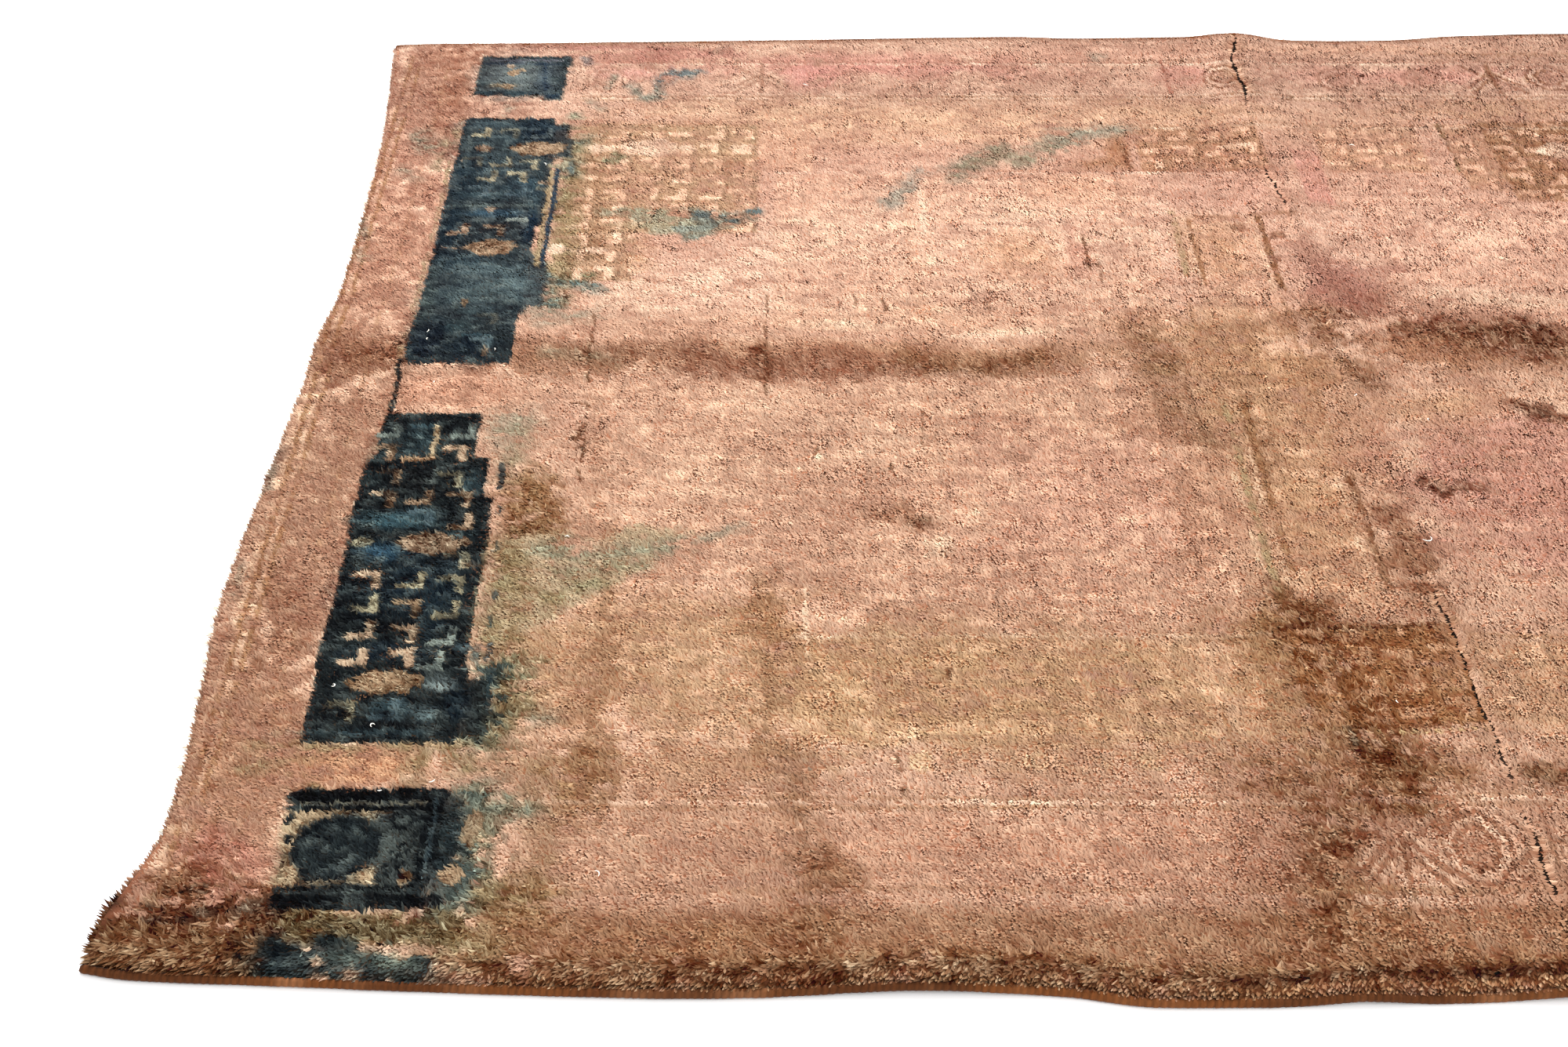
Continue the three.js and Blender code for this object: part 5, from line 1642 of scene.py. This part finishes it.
def prism(path, radii, sides):
    """A closed tube along a few points with a radius at each."""
    way = np.gradient(path, axis=0)
    way = way / np.linalg.norm(way, axis=1)[:, None]
    across = np.cross(way, [0.0, 0.0, 1.0])
    across = across / np.maximum(np.linalg.norm(across, axis=1), 1e-9)[:, None]
    above = np.cross(across, way)
    angle = np.arange(sides) / sides * 2 * math.pi
    ring = np.cos(angle)[None, :, None] * across[:, None] + np.sin(angle)[None, :, None] * above[:, None]
    points = path[:, None] + ring * np.asarray(radii)[:, None, None]
    points = np.concatenate([points.reshape(-1, 3), path[:1], path[-1:]])
    faces = []
    for k in range(len(path) - 1):
        for n in range(sides):
            m = (n + 1) % sides
            faces.append([k * sides + n, k * sides + m, (k + 1) * sides + m])
            faces.append([k * sides + n, (k + 1) * sides + m, (k + 1) * sides + n])
    foot, head = len(points) - 2, len(points) - 1
    last = (len(path) - 1) * sides
    for n in range(sides):
        m = (n + 1) % sides
        faces.append([foot, m, n])
        faces.append([head, last + n, last + m])
    return points, np.array(faces)


def joined(parts):
    points, faces, start = [], [], 0
    for p, f in parts:
        points.append(p)
        faces.append(f + start)
        start += len(p)
    return np.concatenate(points), np.concatenate(faces)


def end_web(name, node, edge_of, out, seed):
    draw = np.random.default_rng(seed)
    mid = -LENGTH / 2 if out < 0 else LENGTH / 2
    start, end = float(near_edge(mid)), float(far_edge(mid))
    y = np.linspace(start, end, WEB_STATIONS)
    x = edge_of(y) + out * (GAP + WEB_WIDE / 2)
    middle_line = np.stack([x, y, lift(x, y) + 1.6 * MM], axis=1)
    parts = [prism(middle_line, 1.5 * MM + 0.25 * MM * np.sin(np.arange(WEB_STATIONS) * 2.1), WEB_SIDES)]
    for k in range(int((end - start) / STUB_PITCH)):
        middle = start + (k + 0.5) * STUB_PITCH + draw.uniform(-1.3, 1.3) * MM
        long = STUB_LONG * (1.0 if k == 0 else draw.uniform(0.55, 1.0))
        for n in range(STRANDS):
            y0 = middle + (n - 1) * 1.1 * MM + draw.uniform(-0.4, 0.4) * MM
            x0 = float(edge_of(y0)) + out * (GAP + 0.8 * MM)
            reach_out = long * draw.uniform(0.75, 1.0) + WEB_WIDE - 1.0 * MM
            sway = draw.uniform(-1.6, 1.6) * MM
            floor_z = float(lift(x0, y0))
            strand = np.array([
                [x0, y0, floor_z + 2.0 * MM],
                [x0 + out * reach_out * 0.5, y0 + sway * 0.3, floor_z + 1.9 * MM],
                [x0 + out * reach_out, y0 + sway, floor_z + draw.uniform(0.9, 1.8) * MM],
            ])
            parts.append(prism(strand, STRAND_RADII, STRAND_SIDES))
    points, faces = joined(parts)
    piece = mesh_piece(name, points, faces, warp_cotton)
    cotton = np.tile(rgb(COTTON), (len(points), 1))
    dust = 0.6 * smooth_rise(field(points[:, 0], points[:, 1], 0.02, seed))
    paint(piece, tinted(cotton, COTTON_DUSTY, dust))
    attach(piece, "root")
    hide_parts(node)
    print(name, len(faces), "faces")
    return piece


left_web = end_web("left_warp_ends", "left_end_web", left_edge, -1, 300)
right_web = end_web("right_warp_ends", "right_end_web", right_edge, 1, 310)

# %% [markdown]
# ## Lint and pulled threads
#
# White cotton shows where a knot has gone, and a few bits of lint cling to the wool. Each is a
# short curled tube that lies on the pile.

# %% Lint
# s, t, length, curl
LINT_WHITE = 0xF0ECE2
LINT_STATIONS = 9
LINT_SEED = 400
LINT = [
    (175, 1100, 7, .6), (180, 1085, 5, 1), (270, 1060, 5, .8), (195, 1000, 5, 1.2), (292, 1571, 9, .5),
    (686, 1840, 10, .4), (285, 280, 8, .7), (160, 425, 9, 1.6), (217, 363, 9, 1.4), (470, 150, 10, .8),
    (400, 680, 6, .6), (1390, 960, 7, .7), (1480, 920, 6, .8), (1410, 672, 20, 1.2), (1537, 1632, 9, .5),
    (1320, 402, 5, .8), (234, 268, 5, .7), (2210, 1310, 7, .9), (2480, 640, 6, .8),
]


def curl(row, seed):
    s, t, long, bend = row
    draw = np.random.default_rng(seed)
    heading = draw.uniform(0, 2 * math.pi) + bend * np.linspace(-1.4, 1.4, LINT_STATIONS)
    step = long * MM / (LINT_STATIONS - 1)
    x = s / 1000 - ORIGIN_S + np.cumsum(np.cos(heading)) * step
    y = t / 1000 - ORIGIN_T + np.cumsum(np.sin(heading)) * step
    z = lift(x, y) + PILE_TOP + (0.6 + 0.7 * np.sin(np.linspace(0, math.pi, LINT_STATIONS))) * MM
    radii = np.interp(np.linspace(0, 2, LINT_STATIONS), [0, 1, 2], [0.3, 0.7, 0.3]) * MM
    return prism(np.stack([x, y, z], axis=1), radii, 6)


lint_points, lint_faces = joined([curl(row, LINT_SEED + k) for k, row in enumerate(LINT)])
lint = mesh_piece("lint", lint_points, lint_faces, warp_cotton)
paint(lint, np.tile(rgb(LINT_WHITE), (len(lint_points), 1)))
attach(lint, "root")
print("lint", len(lint_faces), "faces")
